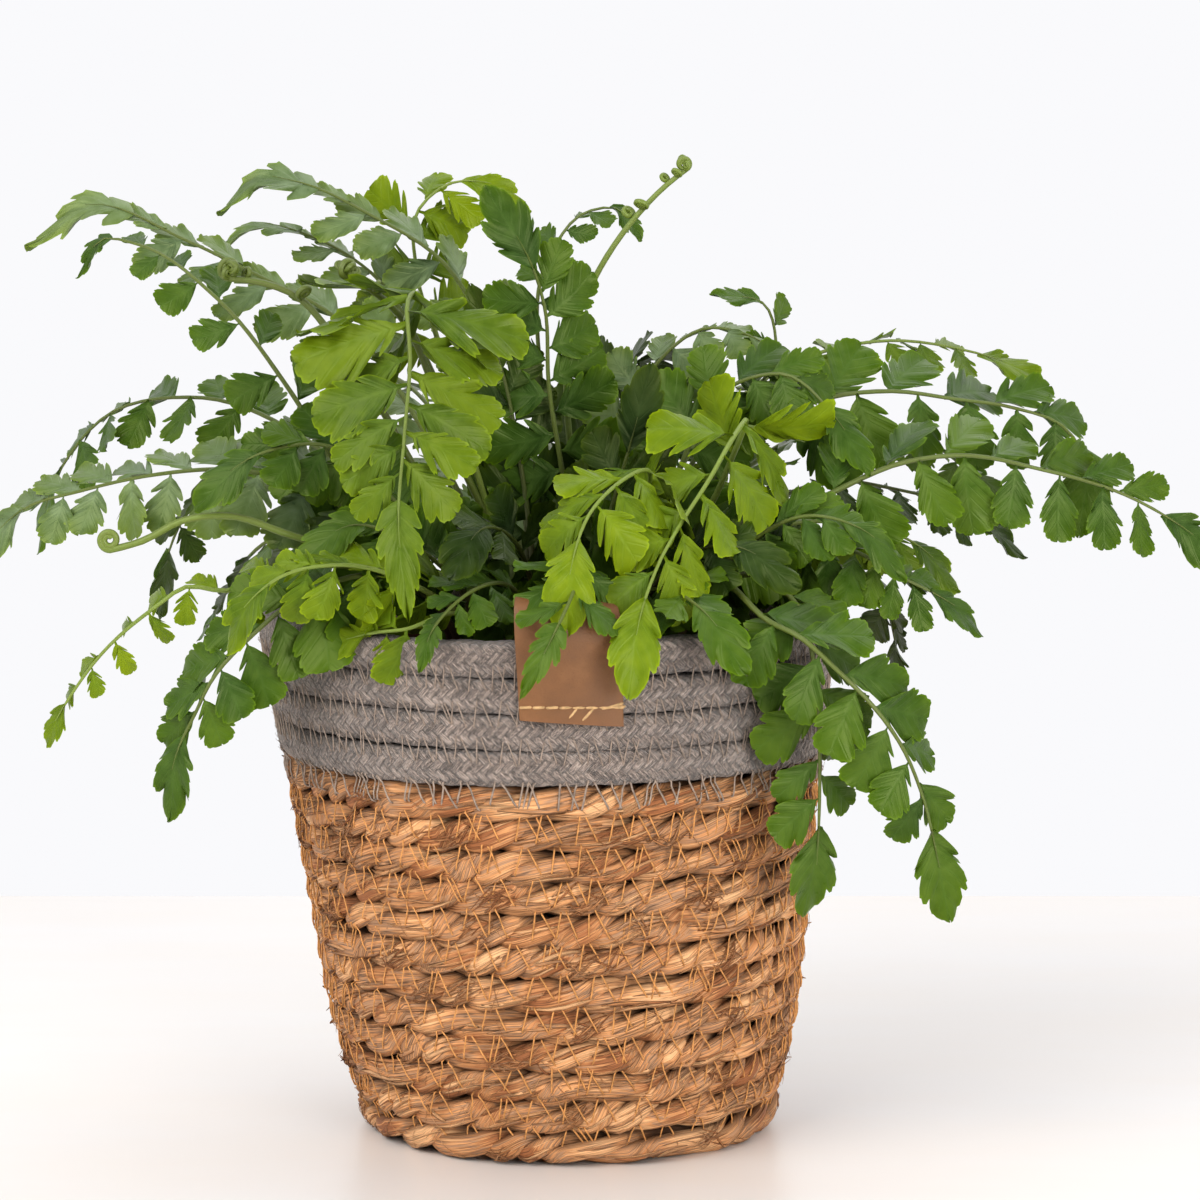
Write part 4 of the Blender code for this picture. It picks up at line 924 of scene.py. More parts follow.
def rope_surface(settings, middle, half, chance, rings=600, sides=32):
    """One closed turn of braided rope, with its UV places.

    Its section is a rounded square, each half axis times the cosine or sine to the power 0.55. UV places
    count crossings: along plus round and along less round are the two slanting ways, and each strand goes
    over two and under two. The skin stands out by the lift times the arch of each float: the square root of
    the sine across it, times a flatter sine along it."""
    turn = math.pi + np.arange(rings)[:, None] * FULL_TURN / rings
    angle = math.pi + np.linspace(0, FULL_TURN, 721)
    depth = 0.5 * WALL
    radius = wall_radius(middle) + ROPE_PROUD - depth
    out = depth * np.sign(np.cos(angle)) * np.abs(np.cos(angle)) ** 0.55
    rise = half * np.sign(np.sin(angle)) * np.abs(np.sin(angle)) ** 0.55
    gone = np.concatenate([[0], np.cumsum(np.hypot(np.diff(out), np.diff(rise)))])
    even = np.linspace(0, gone[-1], sides + 1)[:-1]
    out, rise = np.interp(even, gone, out), np.interp(even, gone, rise)
    lanes = 4 * round(0.5 * gone[-1] / (settings.cell * math.sqrt(2)))
    cells = 2 * round(0.5 * FULL_TURN * (radius + depth) / (settings.cell * math.sqrt(2)) * 2)
    round_place = np.arange(sides) / sides * lanes / 2
    along_place = (turn / FULL_TURN - 0.5) * cells / 2
    first, second = along_place + round_place, along_place - round_place
    gap = (np.floor(first) - np.floor(second)) % 4
    across = np.where(gap < 2, second, first) % 1
    along = np.where(gap < 2, gap + first % 1, 3 - gap + second % 1) / 2
    arch = np.sqrt(np.sin(math.pi * across)) * (0.45 + 0.55 * np.sin(math.pi * along))
    proud = settings.lift * (arch - 0.6)
    sway = MM * (0.3 * np.sin(3 * turn + chance.uniform(0, FULL_TURN))
                 + 0.16 * np.sin(41 * turn + chance.uniform(0, FULL_TURN)))
    shape = np.hypot(out, rise)
    grown = 1 + proud / shape
    points = around(turn, radius + out * grown + TAPER * rise, middle + sway + rise * grown)
    maps = np.stack([along_place + 0 * round_place, round_place + 0 * along_place], axis=-1)
    # Painted shade: the value rises towards the grooves between the turns, where the finish darkens the rope
    shade = np.clip((np.abs(rise) / half) ** 8, 0, 1) + 0 * turn
    faces = tube_faces(1, rings, sides, closed=True)[:, ::-1]
    values, period = four(arch, shade, 0.5, 1.0), (cells / 2, lanes / 2)
    return points.reshape(-1, 3), faces, values, maps.reshape(-1, 2), period


def cotton_finish(settings):
    """Heathered cotton: strands of four yarns in mixed greys that go over two and under two, which makes
    lanes of chevrons along the rope."""
    finish = Finish("grey_cotton_rope", 0.9, Specular_IOR_Level=0.2, Sheen_Weight=0.35, Sheen_Roughness=0.5)
    shade = finish.marks()[1]
    split = finish.add("ShaderNodeSeparateXYZ", finish.along())
    first = finish.math("ADD", split.outputs[0], split.outputs[1])
    second = finish.math("SUBTRACT", split.outputs[0], split.outputs[1])
    cell_a, cell_b = finish.math("FLOOR", first), finish.math("FLOOR", second)
    gap = finish.math("FLOORED_MODULO", finish.math("SUBTRACT", cell_a, cell_b), 4.0)
    back = finish.math("GREATER_THAN", gap, 1.5)
    fore = finish.math("SUBTRACT", 1.0, back)

    def chosen(ahead, behind):
        return finish.math("ADD", finish.math("MULTIPLY", ahead, fore), finish.math("MULTIPLY", behind, back))

    across = chosen(finish.math("FRACT", second), finish.math("FRACT", first))
    along = chosen(finish.math("ADD", gap, finish.math("FRACT", first)),
                   finish.math("ADD", finish.math("SUBTRACT", 3.0, gap), finish.math("FRACT", second)))
    strand = chosen(cell_b, cell_a)
    yarns = finish.math("MULTIPLY", across, 4.0)
    ridge = finish.math("ABSOLUTE", finish.math("SINE", finish.math("MULTIPLY", yarns, math.pi)))
    sides = finish.math("SINE", finish.math("MULTIPLY", across, math.pi))
    ends = finish.math("SINE", finish.math("MULTIPLY", along, 0.5 * math.pi))
    arch = finish.math("MULTIPLY", finish.stretch(sides, 0.0, 0.6, 0.2, 1.0),
                       finish.stretch(ends, 0.0, 0.6, 0.2, 1.0))
    run = finish.math("FLOOR", finish.math("DIVIDE", finish.math("SUBTRACT", cell_a, cell_b), 4.0))
    yarn = finish.add("ShaderNodeCombineXYZ", finish.math("FLOOR", yarns), strand,
                      finish.math("ADD", run, finish.math("MULTIPLY", back, 0.5))).outputs[0]
    shade_of_yarn = finish.add("ShaderNodeTexWhiteNoise", yarn, noise_dimensions="3D").outputs[0]
    grain_place = finish.add("ShaderNodeCombineXYZ", finish.math("MULTIPLY", yarns, 3.4),
                             finish.math("ADD", along, finish.math("MULTIPLY", run, 5.3)),
                             finish.math("MULTIPLY", strand, 3.7)).outputs[0]
    grain = finish.noise(grain_place, 1.6, 3.0, 0.65)
    cloud = finish.noise(finish.place(), 160.0, 3.0)
    heather = finish.math("ADD", finish.math("MULTIPLY", shade_of_yarn, 0.3),
                          finish.stretch(grain, 0.33, 0.67, -0.15, 0.75))
    heather = finish.math("ADD", heather, finish.stretch(cloud, 0.3, 0.7, -0.1, 0.1))
    colour = finish.ramp(heather, (0.08, settings.dark), (0.42, settings.middle), (0.85, settings.light))
    # Painted shade: darker between the yarns, at the edges and ends of each float where it dips under, and in
    # the grooves between the turns
    colour = finish.mix(finish.stretch(ridge, 0.0, 0.5, 0.4, 0.0), colour, settings.dark)
    colour = finish.mix(finish.stretch(arch, 0.05, 0.6, 0.7, 0.0), colour, times(0.8, settings.dark))
    colour = finish.mix(finish.stretch(shade, 0.4, 1.0, 0.0, 0.6), colour, times(0.7, settings.dark))
    height = finish.math("ADD", finish.math("MULTIPLY", ridge, 0.4), finish.math("ADD", grain, arch))
    return finish.done(colour, height, 0.4 * MM)


class FERN_OT_rope(Operator):
    """Lays the four turns of braided cotton rope round the rim"""
    bl_idname = "fern.rope"
    bl_label = "Lay the Rope"

    def execute(self, context):
        settings = context.scene.fern_rope
        finish = cotton_finish(settings)
        chance = np.random.default_rng(ROPE_SEED)
        middles, half = rope_rows()
        for number, middle in enumerate(middles):
            points, faces, values, maps, period = rope_surface(settings, middle, half, chance)
            piece = make_piece(f"rope_turn_{number + 1}", points, faces, [finish], values, maps, period)
            settle(piece, "cotton_rope", "rope_band")
        return {"FINISHED"}


class FERN_OT_grey_thread(Operator):
    """Sews the turns of rope to each other and to the braid with grey thread"""
    bl_idname = "fern.grey_thread"
    bl_label = "Sew the Rope"
    REACH = 3.2 * MM  # how far a stitch reaches from a groove of the rope
    ABOVE, BELOW = 1.8 * MM, 5.0 * MM  # and from the rope's lower edge

    def execute(self, context):
        settings = context.scene.fern_thread
        chance = np.random.default_rng(GREY_THREAD_SEED)
        finish = thread_finish("grey_thread", settings.grey)
        middles, half = rope_rows()
        legs = []
        for middle in middles[:-1]:
            start, end = zigzag(chance, middle - half, 0.75 * settings.period_top, self.REACH, self.REACH,
                                RIM_RADIUS, 0.03)
            legs.append(thread_legs(start, end, rope_face, 0.85 * settings.thickness))
        start, end = zigzag(chance, BRAID_TOP, 1.1 * settings.period_top, self.ABOVE, self.BELOW,
                            RIM_RADIUS, 0.16)
        legs.append(thread_legs(start, end, lambda height: np.maximum(braid_face(height), rope_face(height)),
                                1.2 * settings.thickness))
        sewn("rope_stitches", legs, finish, "cotton_rope", "rope_band")
        return {"FINISHED"}


class FERN_OT_fuzz(Operator):
    """Raises short cotton hairs off the rope"""
    bl_idname = "fern.fuzz"
    bl_label = "Fuzz the Rope"
    RINGS, SIDES = 3, 3
    THICKNESS = 0.09 * MM

    def execute(self, context):
        settings = context.scene.fern_rope
        chance = np.random.default_rng(FUZZ_SEED)
        count = settings.fuzz
        low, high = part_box("rope_band")[0].z, RIM_HEIGHT
        turn = chance.uniform(0, FULL_TURN, (count, 1))
        height = chance.uniform(low, high - 1 * MM, (count, 1))
        way = chance.choice([0.25, 0.75], (count, 1)) * math.pi + chance.normal(0, 0.3, (count, 1))
        length = chance.uniform(1.0 * MM, 2.6 * MM, (count, 1))
        t = np.linspace(0, 1, self.RINGS)
        heights = np.clip(height + length * np.sin(way) * t, low, high)
        turns = turn + length * np.cos(way) * t / RIM_RADIUS
        lift = chance.uniform(0.2, 1, (count, 1)) ** 3 * 0.8 * MM * np.sin(math.pi * 0.62 * t)
        paths = around(turns, rope_face(heights) + 0.1 * MM + lift - 0.2 * MM * (1 - t), heights)
        section = ellipse(self.SIDES, 0.5 * self.THICKNESS, 0.5 * self.THICKNESS)
        points = swept(paths, facing(turns, 0.0), section)
        values = four(chance.uniform(0, 1, (count, 1, 1)) + np.zeros((1, self.RINGS, self.SIDES)))
        finish = Finish("cotton_fuzz", 0.9, Sheen_Weight=0.2)
        colour = finish.ramp(finish.marks()[0], (0.2, settings.dark), (0.5, settings.middle),
                             (1.0, settings.light))
        faces = tube_faces(count, self.RINGS, self.SIDES)
        piece = make_piece("rope_fuzz", points, faces, [finish.done(colour)], values)
        settle(piece, "cotton_rope", "rope_band")
        return {"FINISHED"}


def tag_surface(samples=60, sides=36):
    """The tag: a thin rounded bar's section carried up the rope, over the rim and down inside.

    The section is half the width times a sine and half the thickness times a cosine, each to the power 0.35,
    and it bends with the rim."""
    path = smooth_path(np.array(TAG_PATH), samples)
    slope = unit(np.gradient(path, axis=0))
    normal = np.stack([slope[:, 1], -slope[:, 0]], axis=-1)
    angle = np.arange(sides) * FULL_TURN / sides
    across = -0.5 * TAG_WIDTH * np.sign(np.sin(angle)) * np.abs(np.sin(angle)) ** 0.35
    thick = 0.5 * TAG_THICK * np.sign(np.cos(angle)) * np.abs(np.cos(angle)) ** 0.35
    warp = 0.25 * MM * np.sin(path[:, 1] * 190 + 1.0)[:, None] * (across / TAG_WIDTH * 2) ** 2
    turn = TAG_TURN + across / RIM_RADIUS
    radius = path[:, :1] + normal[:, :1] * (thick + warp)
    height = path[:, 1:] + normal[:, 1:] * (thick + warp)
    points = around(turn, radius, height)
    points[..., 2] -= TAG_SLANT * points[..., 0]
    return points


def leather_finish(settings):
    """Smooth tan leather: a cloudy shade with rubbed patches, and fine darker pores."""
    finish = Finish("tan_leather", 0.5, Specular_IOR_Level=0.4)
    place = finish.place()
    cloud = finish.noise(place, 110.0, 4.0, 0.55)
    pores = finish.noise(place, 2600.0, 2.0)
    colour = finish.ramp(cloud, (0.3, times(0.8, settings.leather)), (0.55, settings.leather),
                         (0.8, settings.worn))
    colour = finish.mix(finish.stretch(pores, 0.55, 0.75, 0.0, 0.35), colour,
                        times(0.6, settings.leather))
    rough = finish.stretch(cloud, 0.3, 0.7, 0.42, 0.62)
    return finish.done(colour, pores, 0.06 * MM, rough)


class FERN_OT_tag(Operator):
    """Folds the leather tag over the rim and sews it with a running stitch"""
    bl_idname = "fern.tag"
    bl_label = "Fold the Tag"
    STITCHES = 8
    STITCH_HEIGHT = 0.1137
    EXTRA = (((0.174, -0.3), (0.250, 0.9)), ((0.190, 0.2), (0.255, 0.1)), ((0.096, 0), (0.070, -2.3)),
             ((0.150, 0), (0.112, -3.0)))  # both ends of each: a turn, and millimetres above the others

    def execute(self, context):
        settings = context.scene.fern_tag
        points = tag_surface()
        faces = tube_faces(1, *points.shape[:2])[:, ::-1]
        piece = make_piece("leather_tag", points, faces, [leather_finish(settings)], sharp=math.radians(50))
        settle(piece, "tan_leather", "rim_tag")
        self.sew(settings)
        return {"FINISHED"}

    def sew(self, settings):
        """Running stitches across the tag, a doubled one at the right end, and two loose tails."""
        pitch = TAG_WIDTH / self.STITCHES
        left = TAG_TURN + (np.arange(self.STITCHES) * pitch - 0.5 * TAG_WIDTH + 0.3 * MM) / RIM_RADIUS
        right = left + 0.88 * pitch / RIM_RADIUS
        start = np.stack([left, self.STITCH_HEIGHT + 0.2 * MM * np.sin(5 * left)], axis=-1)
        end = np.stack([right, self.STITCH_HEIGHT + 0.25 * MM * np.cos(9 * right)], axis=-1)
        extra = np.array(self.EXTRA) * (1, MM) + (0, self.STITCH_HEIGHT)
        start, end = np.concatenate([start, extra[:, 0]]), np.concatenate([end, extra[:, 1]])
        start[:, 1] -= TAG_SLANT * RIM_RADIUS * (start[:, 0] - TAG_TURN) * 0.2
        lift = ROPE_PROUD + 0.3 * MM + 1.1 * TAG_THICK
        legs = thread_legs(start, end, lambda height: wall_radius(height) + lift, settings.thread_thickness)
        finish = thread_finish("tag_thread", settings.thread)
        sewn("tag_stitches", [legs], finish, "tan_leather", "rim_tag")


def turned(name, profile, sides, finish):
    """A closed profile of (radius, height) turned once round the leaning axis."""
    profile = np.array(profile, float)
    turn = np.arange(sides)[:, None] * FULL_TURN / sides
    points = around(turn, profile[:, 0], profile[:, 1])
    faces = tube_faces(1, sides, len(profile), closed=True)[:, ::-1]
    return make_piece(name, points, faces, [finish], sharp=math.radians(60))


def plastic_finish(name, colour, roughness):
    """Moulded plastic: faint mottling and a fine orange peel."""
    finish = Finish(name, roughness, Specular_IOR_Level=0.5)
    place = finish.place()
    cloud = finish.noise(place, 60.0, 3.0)
    peel = finish.noise(place, 1500.0, 2.0)
    shade = finish.ramp(cloud, (0.3, times(0.75, colour)), (0.7, times(1.25, colour)))
    rough = finish.stretch(cloud, 0.3, 0.7, roughness - 0.08, roughness + 0.1)
    return finish.done(shade, peel, 0.04 * MM, rough)


class FERN_OT_pot(Operator):
    """Gives the nursery pot and the liner their finish, and the pot its rounded lip"""
    bl_idname = "fern.pot"
    bl_label = "Finish the Pot"
    PROUD = 0.2 * MM  # how far the round lip stands out from the pot's own
    SIDES = 96

    def execute(self, context):
        settings = context.scene.fern_pot
        plastic = plastic_finish("brown_plastic", settings.plastic, 0.42)
        film = plastic_finish("liner_film", settings.film, 0.3)
        for node, finish in (("nursery_pot", plastic), ("liner", film)):
            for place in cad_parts[node].material_slots:
                place.link = "OBJECT"
                place.material = finish
        low, high, outer = POT_TOP - POT_LIP, POT_TOP + self.PROUD, POT_RIM_RADIUS + self.PROUD
        inner = (POT_RIM_RADIUS - POT_WALL) * math.cos(math.pi / POT_SIDES) - self.PROUD
        bend = np.linspace(0, math.pi, 7)
        middle, half = 0.5 * (outer + inner), 0.5 * (outer - inner)
        top = [(middle + half * math.cos(b), high - half + half * math.sin(b)) for b in bend]
        foot = [(middle - half * math.cos(b), low + half - half * math.sin(b)) for b in bend]
        settle(turned("pot_lip", top + foot, self.SIDES, plastic), "brown_plastic")
        return {"FINISHED"}


def bumps(x, y, chance, size, count=7):
    """A sum of sine waves in random directions, from -1 to 1, whose lumps are about the size."""
    way = chance.uniform(0, FULL_TURN, count)
    pace = math.pi / size * chance.uniform(0.6, 1.5, count)
    start = chance.uniform(0, FULL_TURN, count)
    place = x[..., None] * np.cos(way) + y[..., None] * np.sin(way)
    return np.sin(place * pace + start).mean(axis=-1) * math.sqrt(count) / 1.6


def earth_finish(settings):
    """Damp peat: black-brown crumbs with paler flecks of bark."""
    finish = Finish("potting_soil", 0.95, Specular_IOR_Level=0.2)
    place = finish.place()
    grain = finish.noise(place, 900.0, 5.0, 0.7)
    fleck = finish.noise(place, 420.0, 2.0)
    colour = finish.ramp(grain, (0.35, times(0.5, settings.earth)), (0.65, settings.earth))
    colour = finish.mix(finish.stretch(fleck, 0.6, 0.72, 0.0, 0.7), colour, (0.20, 0.10, 0.05))
    return finish.done(colour, grain, 0.8 * MM)


def soil_height(share):
    """The bed's height at a share of its radius: a low heap that falls away steeply at the pot's wall."""
    return SOIL_TOP + 1.5 * MM * (1 - share) - 6.5 * MM * share**9


class FERN_OT_soil(Operator):
    """Fills the pot with rough soil and crumbs"""
    bl_idname = "fern.soil"
    bl_label = "Fill the Soil"
    RINGS, SIDES = 30, 90
    CRUMB = np.array([(1, 0, 0), (0, 1, 0), (-1, 0, 0), (0, -1, 0), (0, 0, 1), (0, 0, -1)], float)
    CRUMB_FACES = np.array([(0, 1, 4), (1, 2, 4), (2, 3, 4), (3, 0, 4), (1, 0, 5), (2, 1, 5), (3, 2, 5),
                            (0, 3, 5)])

    def execute(self, context):
        settings = context.scene.fern_pot
        chance = np.random.default_rng(SOIL_SEED)
        finish = earth_finish(settings)
        share = np.linspace(0.004, 1, self.RINGS)
        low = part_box("soil")[0].z
        radius = np.concatenate([SOIL_RADIUS * share, SOIL_FOOT_RADIUS * share[::-1]])
        height = np.concatenate([soil_height(share), np.full(self.RINGS, low)])
        turn = np.arange(self.SIDES) * FULL_TURN / self.SIDES
        points = around(turn, radius[:, None], height[:, None])
        lumps = 0.9 * MM * bumps(points[..., 0], points[..., 1], chance, 5 * MM)
        points[..., 2] += np.where(np.arange(2 * self.RINGS)[:, None] < self.RINGS - 1, lumps, 0)
        faces = tube_faces(1, 2 * self.RINGS, self.SIDES)[:, ::-1]
        piece = make_piece("soil_bed", points, faces, [finish])
        settle(piece, "potting_soil", "soil")
        self.crumbs(settings, chance, finish)
        return {"FINISHED"}

    def crumbs(self, settings, chance, finish):
        """Loose crumbs: eight-sided lumps with jittered corners, sunk by a third into the bed."""
        count = settings.crumbs
        turn = chance.uniform(0, FULL_TURN, count)
        reach = SOIL_RADIUS * 0.95 * np.sqrt(chance.uniform(0, 1, count))
        size = chance.uniform(0.6, 1.9, (count, 1, 1)) * MM
        corners = self.CRUMB * size * chance.uniform(0.6, 1.3, (count, 6, 3))
        height = soil_height(reach / SOIL_RADIUS) + 0.3 * size[:, 0, 0]
        points = corners + around(turn, reach, height)[:, None]
        faces = repeated(np.pad(self.CRUMB_FACES, ((0, 0), (0, 1)), constant_values=-1), count, 6)
        piece = make_piece("soil_crumbs", points, faces, [finish], sharp=math.radians(20))
        settle(piece, "potting_soil", "soil")


class Stem:
    """The middle line of a frond: a straight buried foot, a cubic curve through the route, and a coil."""

    def __init__(self, frond):
        foot = np.array([*frond.route[0], SOIL_TOP / MM]) * MM
        knots = np.array([foot, *(np.array(point) * MM for point in frond.route[1:])])
        line = np.concatenate([[foot - (0, 0, STEM_BURIED)], smooth_path(knots, STEM_SAMPLES, (0, 0, 1))])
        face = unit(np.array(frond.face, float))
        along = unit(np.gradient(line, axis=0))
        up = unit(face - along * (along @ face)[:, None])
        if frond.coil:
            line, along, up = self.coiled(line, along, up, np.array(COIL_RADII) * frond.leaf_mm * MM)
        self.points, self.along, self.up = line, along, up
        self.reached = reach_along(line)
        self.length = self.reached[-1]

    @staticmethod
    def coiled(line, along, up, radii, samples=COIL_SAMPLES):
        """The line carried on round a spiral that closes towards its upper side."""
        turn = np.linspace(0, FULL_TURN * COIL_TURNS, samples + 1)[1:, None]
        radius = radii[0] + (radii[1] - radii[0]) * turn / turn[-1]
        start, ahead, inward = line[-1], along[-1], up[-1]
        points = start + radii[0] * inward + radius * (ahead * np.sin(turn) - inward * np.cos(turn))
        heading = ahead * np.cos(turn) + inward * np.sin(turn)
        inner = inward * np.cos(turn) - ahead * np.sin(turn)
        return np.concatenate([line, points]), np.concatenate([along, heading]), np.concatenate([up, inner])

    def at(self, distance):
        """Points, directions, upper sides and right sides at distances from the buried end."""
        def read(values):
            return np.stack([np.interp(distance, self.reached, column) for column in values.T], axis=-1)

        ahead = unit(read(self.along))
        up = read(self.up)
        up = unit(up - ahead * (up * ahead).sum(axis=-1, keepdims=True))
        return read(self.points), ahead, up, np.cross(ahead, up)


TEETH = 8  # teeth of each margin
TEETH_FROM, TEETH_SPAN = 0.3, 0.685  # where they start and how far they reach, as shares of the margin
VEIN_SLANT = 0.68
LEAF_ROWS = np.concatenate([[-1, -0.85, -0.45], (np.arange(TEETH)[:, None] + (0, 0.28, 0.7)).ravel(),
                            [TEETH]])
LEAF_COLUMNS = np.array([-1, -0.55, 0, 0.55, 1])


def incised(cut, ahead, count, chance):
    """How much of the blade is left at each row of one margin, for each leaflet.

    The teeth are sine arches to the power 0.6. Each incision is a wedge with a wide shallow dip round it, and
    those further out are shallower."""
    plain, cuts = (cut.plain[0], cut.cuts[0]) if ahead else (cut.plain[1], cut.cuts[1])
    arch = np.abs(np.sin(math.pi * LEAF_ROWS)) ** 0.6
    left = 1 - cut.tooth * (1 - arch) * np.clip(LEAF_ROWS - plain, 0, 1)
    where = np.array(cuts)[:, None]
    apart = np.abs(LEAF_ROWS - where)
    depth = cut.depth * chance.uniform(0.45, 1.1, (count, len(cuts), 1)) * (1 - 0.13 * where)
    wedge = 0.62 * np.clip(1 - apart / 0.5, 0, 1) + 0.38 * np.clip(1 - apart / 1.6, 0, 1)
    return left * np.prod(1 - depth * wedge, axis=1)


def leaflets(cut, root, axis, normal, length, side, thickness, chance):
    """Closed leaflets, in rows from the stalk to the tip and columns from margin to margin.

    Past its foot, a row at p from 0 to 1 meets the smooth margin at x = (1 - cos(pi p)) / 2 along it and at
    y = width times sin(pi p ** peak) across it, and leaves the midrib at x (1 - slant sin(pi p)), so the
    veins slant forward. A point at s from -1 to 1 lies |s| times the part that is left of the blade along the
    row. The blade falls with the square of x and of y and where it is incised, and its margins wave. The
    lower face lies under it by the thickness, and both share the margin."""
    count = len(root)
    p = np.where(LEAF_ROWS < 0, TEETH_FROM * (1 + LEAF_ROWS), TEETH_FROM + TEETH_SPAN * LEAF_ROWS / TEETH)
    s, part = LEAF_COLUMNS, np.abs(LEAF_COLUMNS)
    towards = 0.5 * (1 + side[:, None, None] * np.sign(s))
    left = incised(cut, False, count, chance)[..., None]
    left = left + towards * (incised(cut, True, count, chance)[..., None] - left)
    width = cut.behind + towards * (cut.ahead - cut.behind)
    width = width * chance.uniform(0.85, 1.1, (count, 1, 1))
    stalk = np.where(LEAF_ROWS > -1, cut.foot, 0)[:, None]
    margin = stalk + 0.5 * (1 - stalk) * (1 - np.cos(math.pi * p))[:, None]
    vein = margin * (1 - VEIN_SLANT * np.sin(math.pi * p))[:, None]
    across = width * np.sin(math.pi * p ** cut.peak)[:, None] + 0.017 * (1 - p)[:, None]
    x = vein + part * left * (margin - vein)
    y = np.sign(s) * part * left * across
    y = y + side[:, None, None] * chance.uniform(-0.02, 0.12, (count, 1, 1)) * x**2
    start, bend, arch = (chance.uniform(low, high, (count, 1, 1)) for low, high in (
        (0, FULL_TURN), (0.2, 1.7), (-0.4, 1.1)))
    wave = LEAF_ROWS[:, None]
    ripple = 0.042 * np.sin(1.3 * wave + start + side[:, None, None] * s)
    ripple = ripple + 0.018 * np.sin(3.1 * wave + 2 * start) - 0.06 * (1 - left)
    z = part**2 * ripple - 0.022 * (1 - part) ** 2 * margin
    z = z - cut.bend * bend * x**2 - 2 * cut.bend * arch * y**2
    z = z + chance.normal(0, 0.12, (count, 1, 1)) * x * y
    sideways = np.cross(normal, axis)
    top = sum(size[..., None] * way[:, None, None] for size, way in ((x, axis), (y, sideways), (z, normal)))
    top = root[:, None, None] + length[:, None, None, None] * top
    lower = (top - normal[:, None, None] * thickness)[:, 1:-1, 1:-1]
    points = np.concatenate([top.reshape(count, -1, 3), lower.reshape(count, -1, 3)], axis=1)
    rows, columns = len(LEAF_ROWS), len(s)
    upper = np.arange(rows * columns).reshape(rows, columns)
    under = upper.copy()
    under[1:-1, 1:-1] = rows * columns + np.arange((rows - 2) * (columns - 2)).reshape(rows - 2, columns - 2)
    faces = np.concatenate([
        np.stack([upper[:-1, :-1], upper[1:, :-1], upper[1:, 1:], upper[:-1, 1:]], axis=-1).reshape(-1, 4),
        np.stack([under[:-1, :-1], under[:-1, 1:], under[1:, 1:], under[1:, :-1]], axis=-1).reshape(-1, 4)])

    def both(grid):
        grid = grid + np.zeros((rows, columns))
        return np.concatenate([grid.ravel(), grid[1:-1, 1:-1].ravel()])

    below = np.concatenate([np.zeros(rows * columns), np.ones((rows - 2) * (columns - 2))])
    outer = both(np.minimum(1, 0.6 * part**2 + 0.55 * margin**3))
    shade = chance.normal(0.5, 0.17, (count, 1)) + 0 * outer
    maps = np.stack(np.broadcast_arrays(both(wave) + 0 * shade, both(s)), axis=-1).reshape(-1, 2)
    faces = repeated(faces, count, points.shape[1])
    return points.reshape(-1, 3), faces, four(shade, outer, below, 1.0), maps


def last_leaflet(cut, stem, root, length, thickness, chance):
    """The leaflet that ends a frond: laid out flat, narrowed past its two lowest lobes and to a point, then
    carried onto the stem's curve."""
    level = np.eye(3)[None]
    flat, *rest = leaflets(cut, 0 * level[:, 0], level[:, 0], level[:, 2], np.array([length]), np.zeros(1),
                           thickness, chance)
    x, y, z = flat.T[..., None]
    y = y * (1 - 0.3 * np.clip((x / length - 0.4) / 0.3, 0, 1))
    y = y * np.sqrt(np.clip((1.01 - x / length) / 0.3, 0, 1))
    point, ahead, up, right = stem.at(root + x[:, 0])
    return point + np.maximum(root + x - stem.length, 0) * ahead - y * right + z * up, *rest


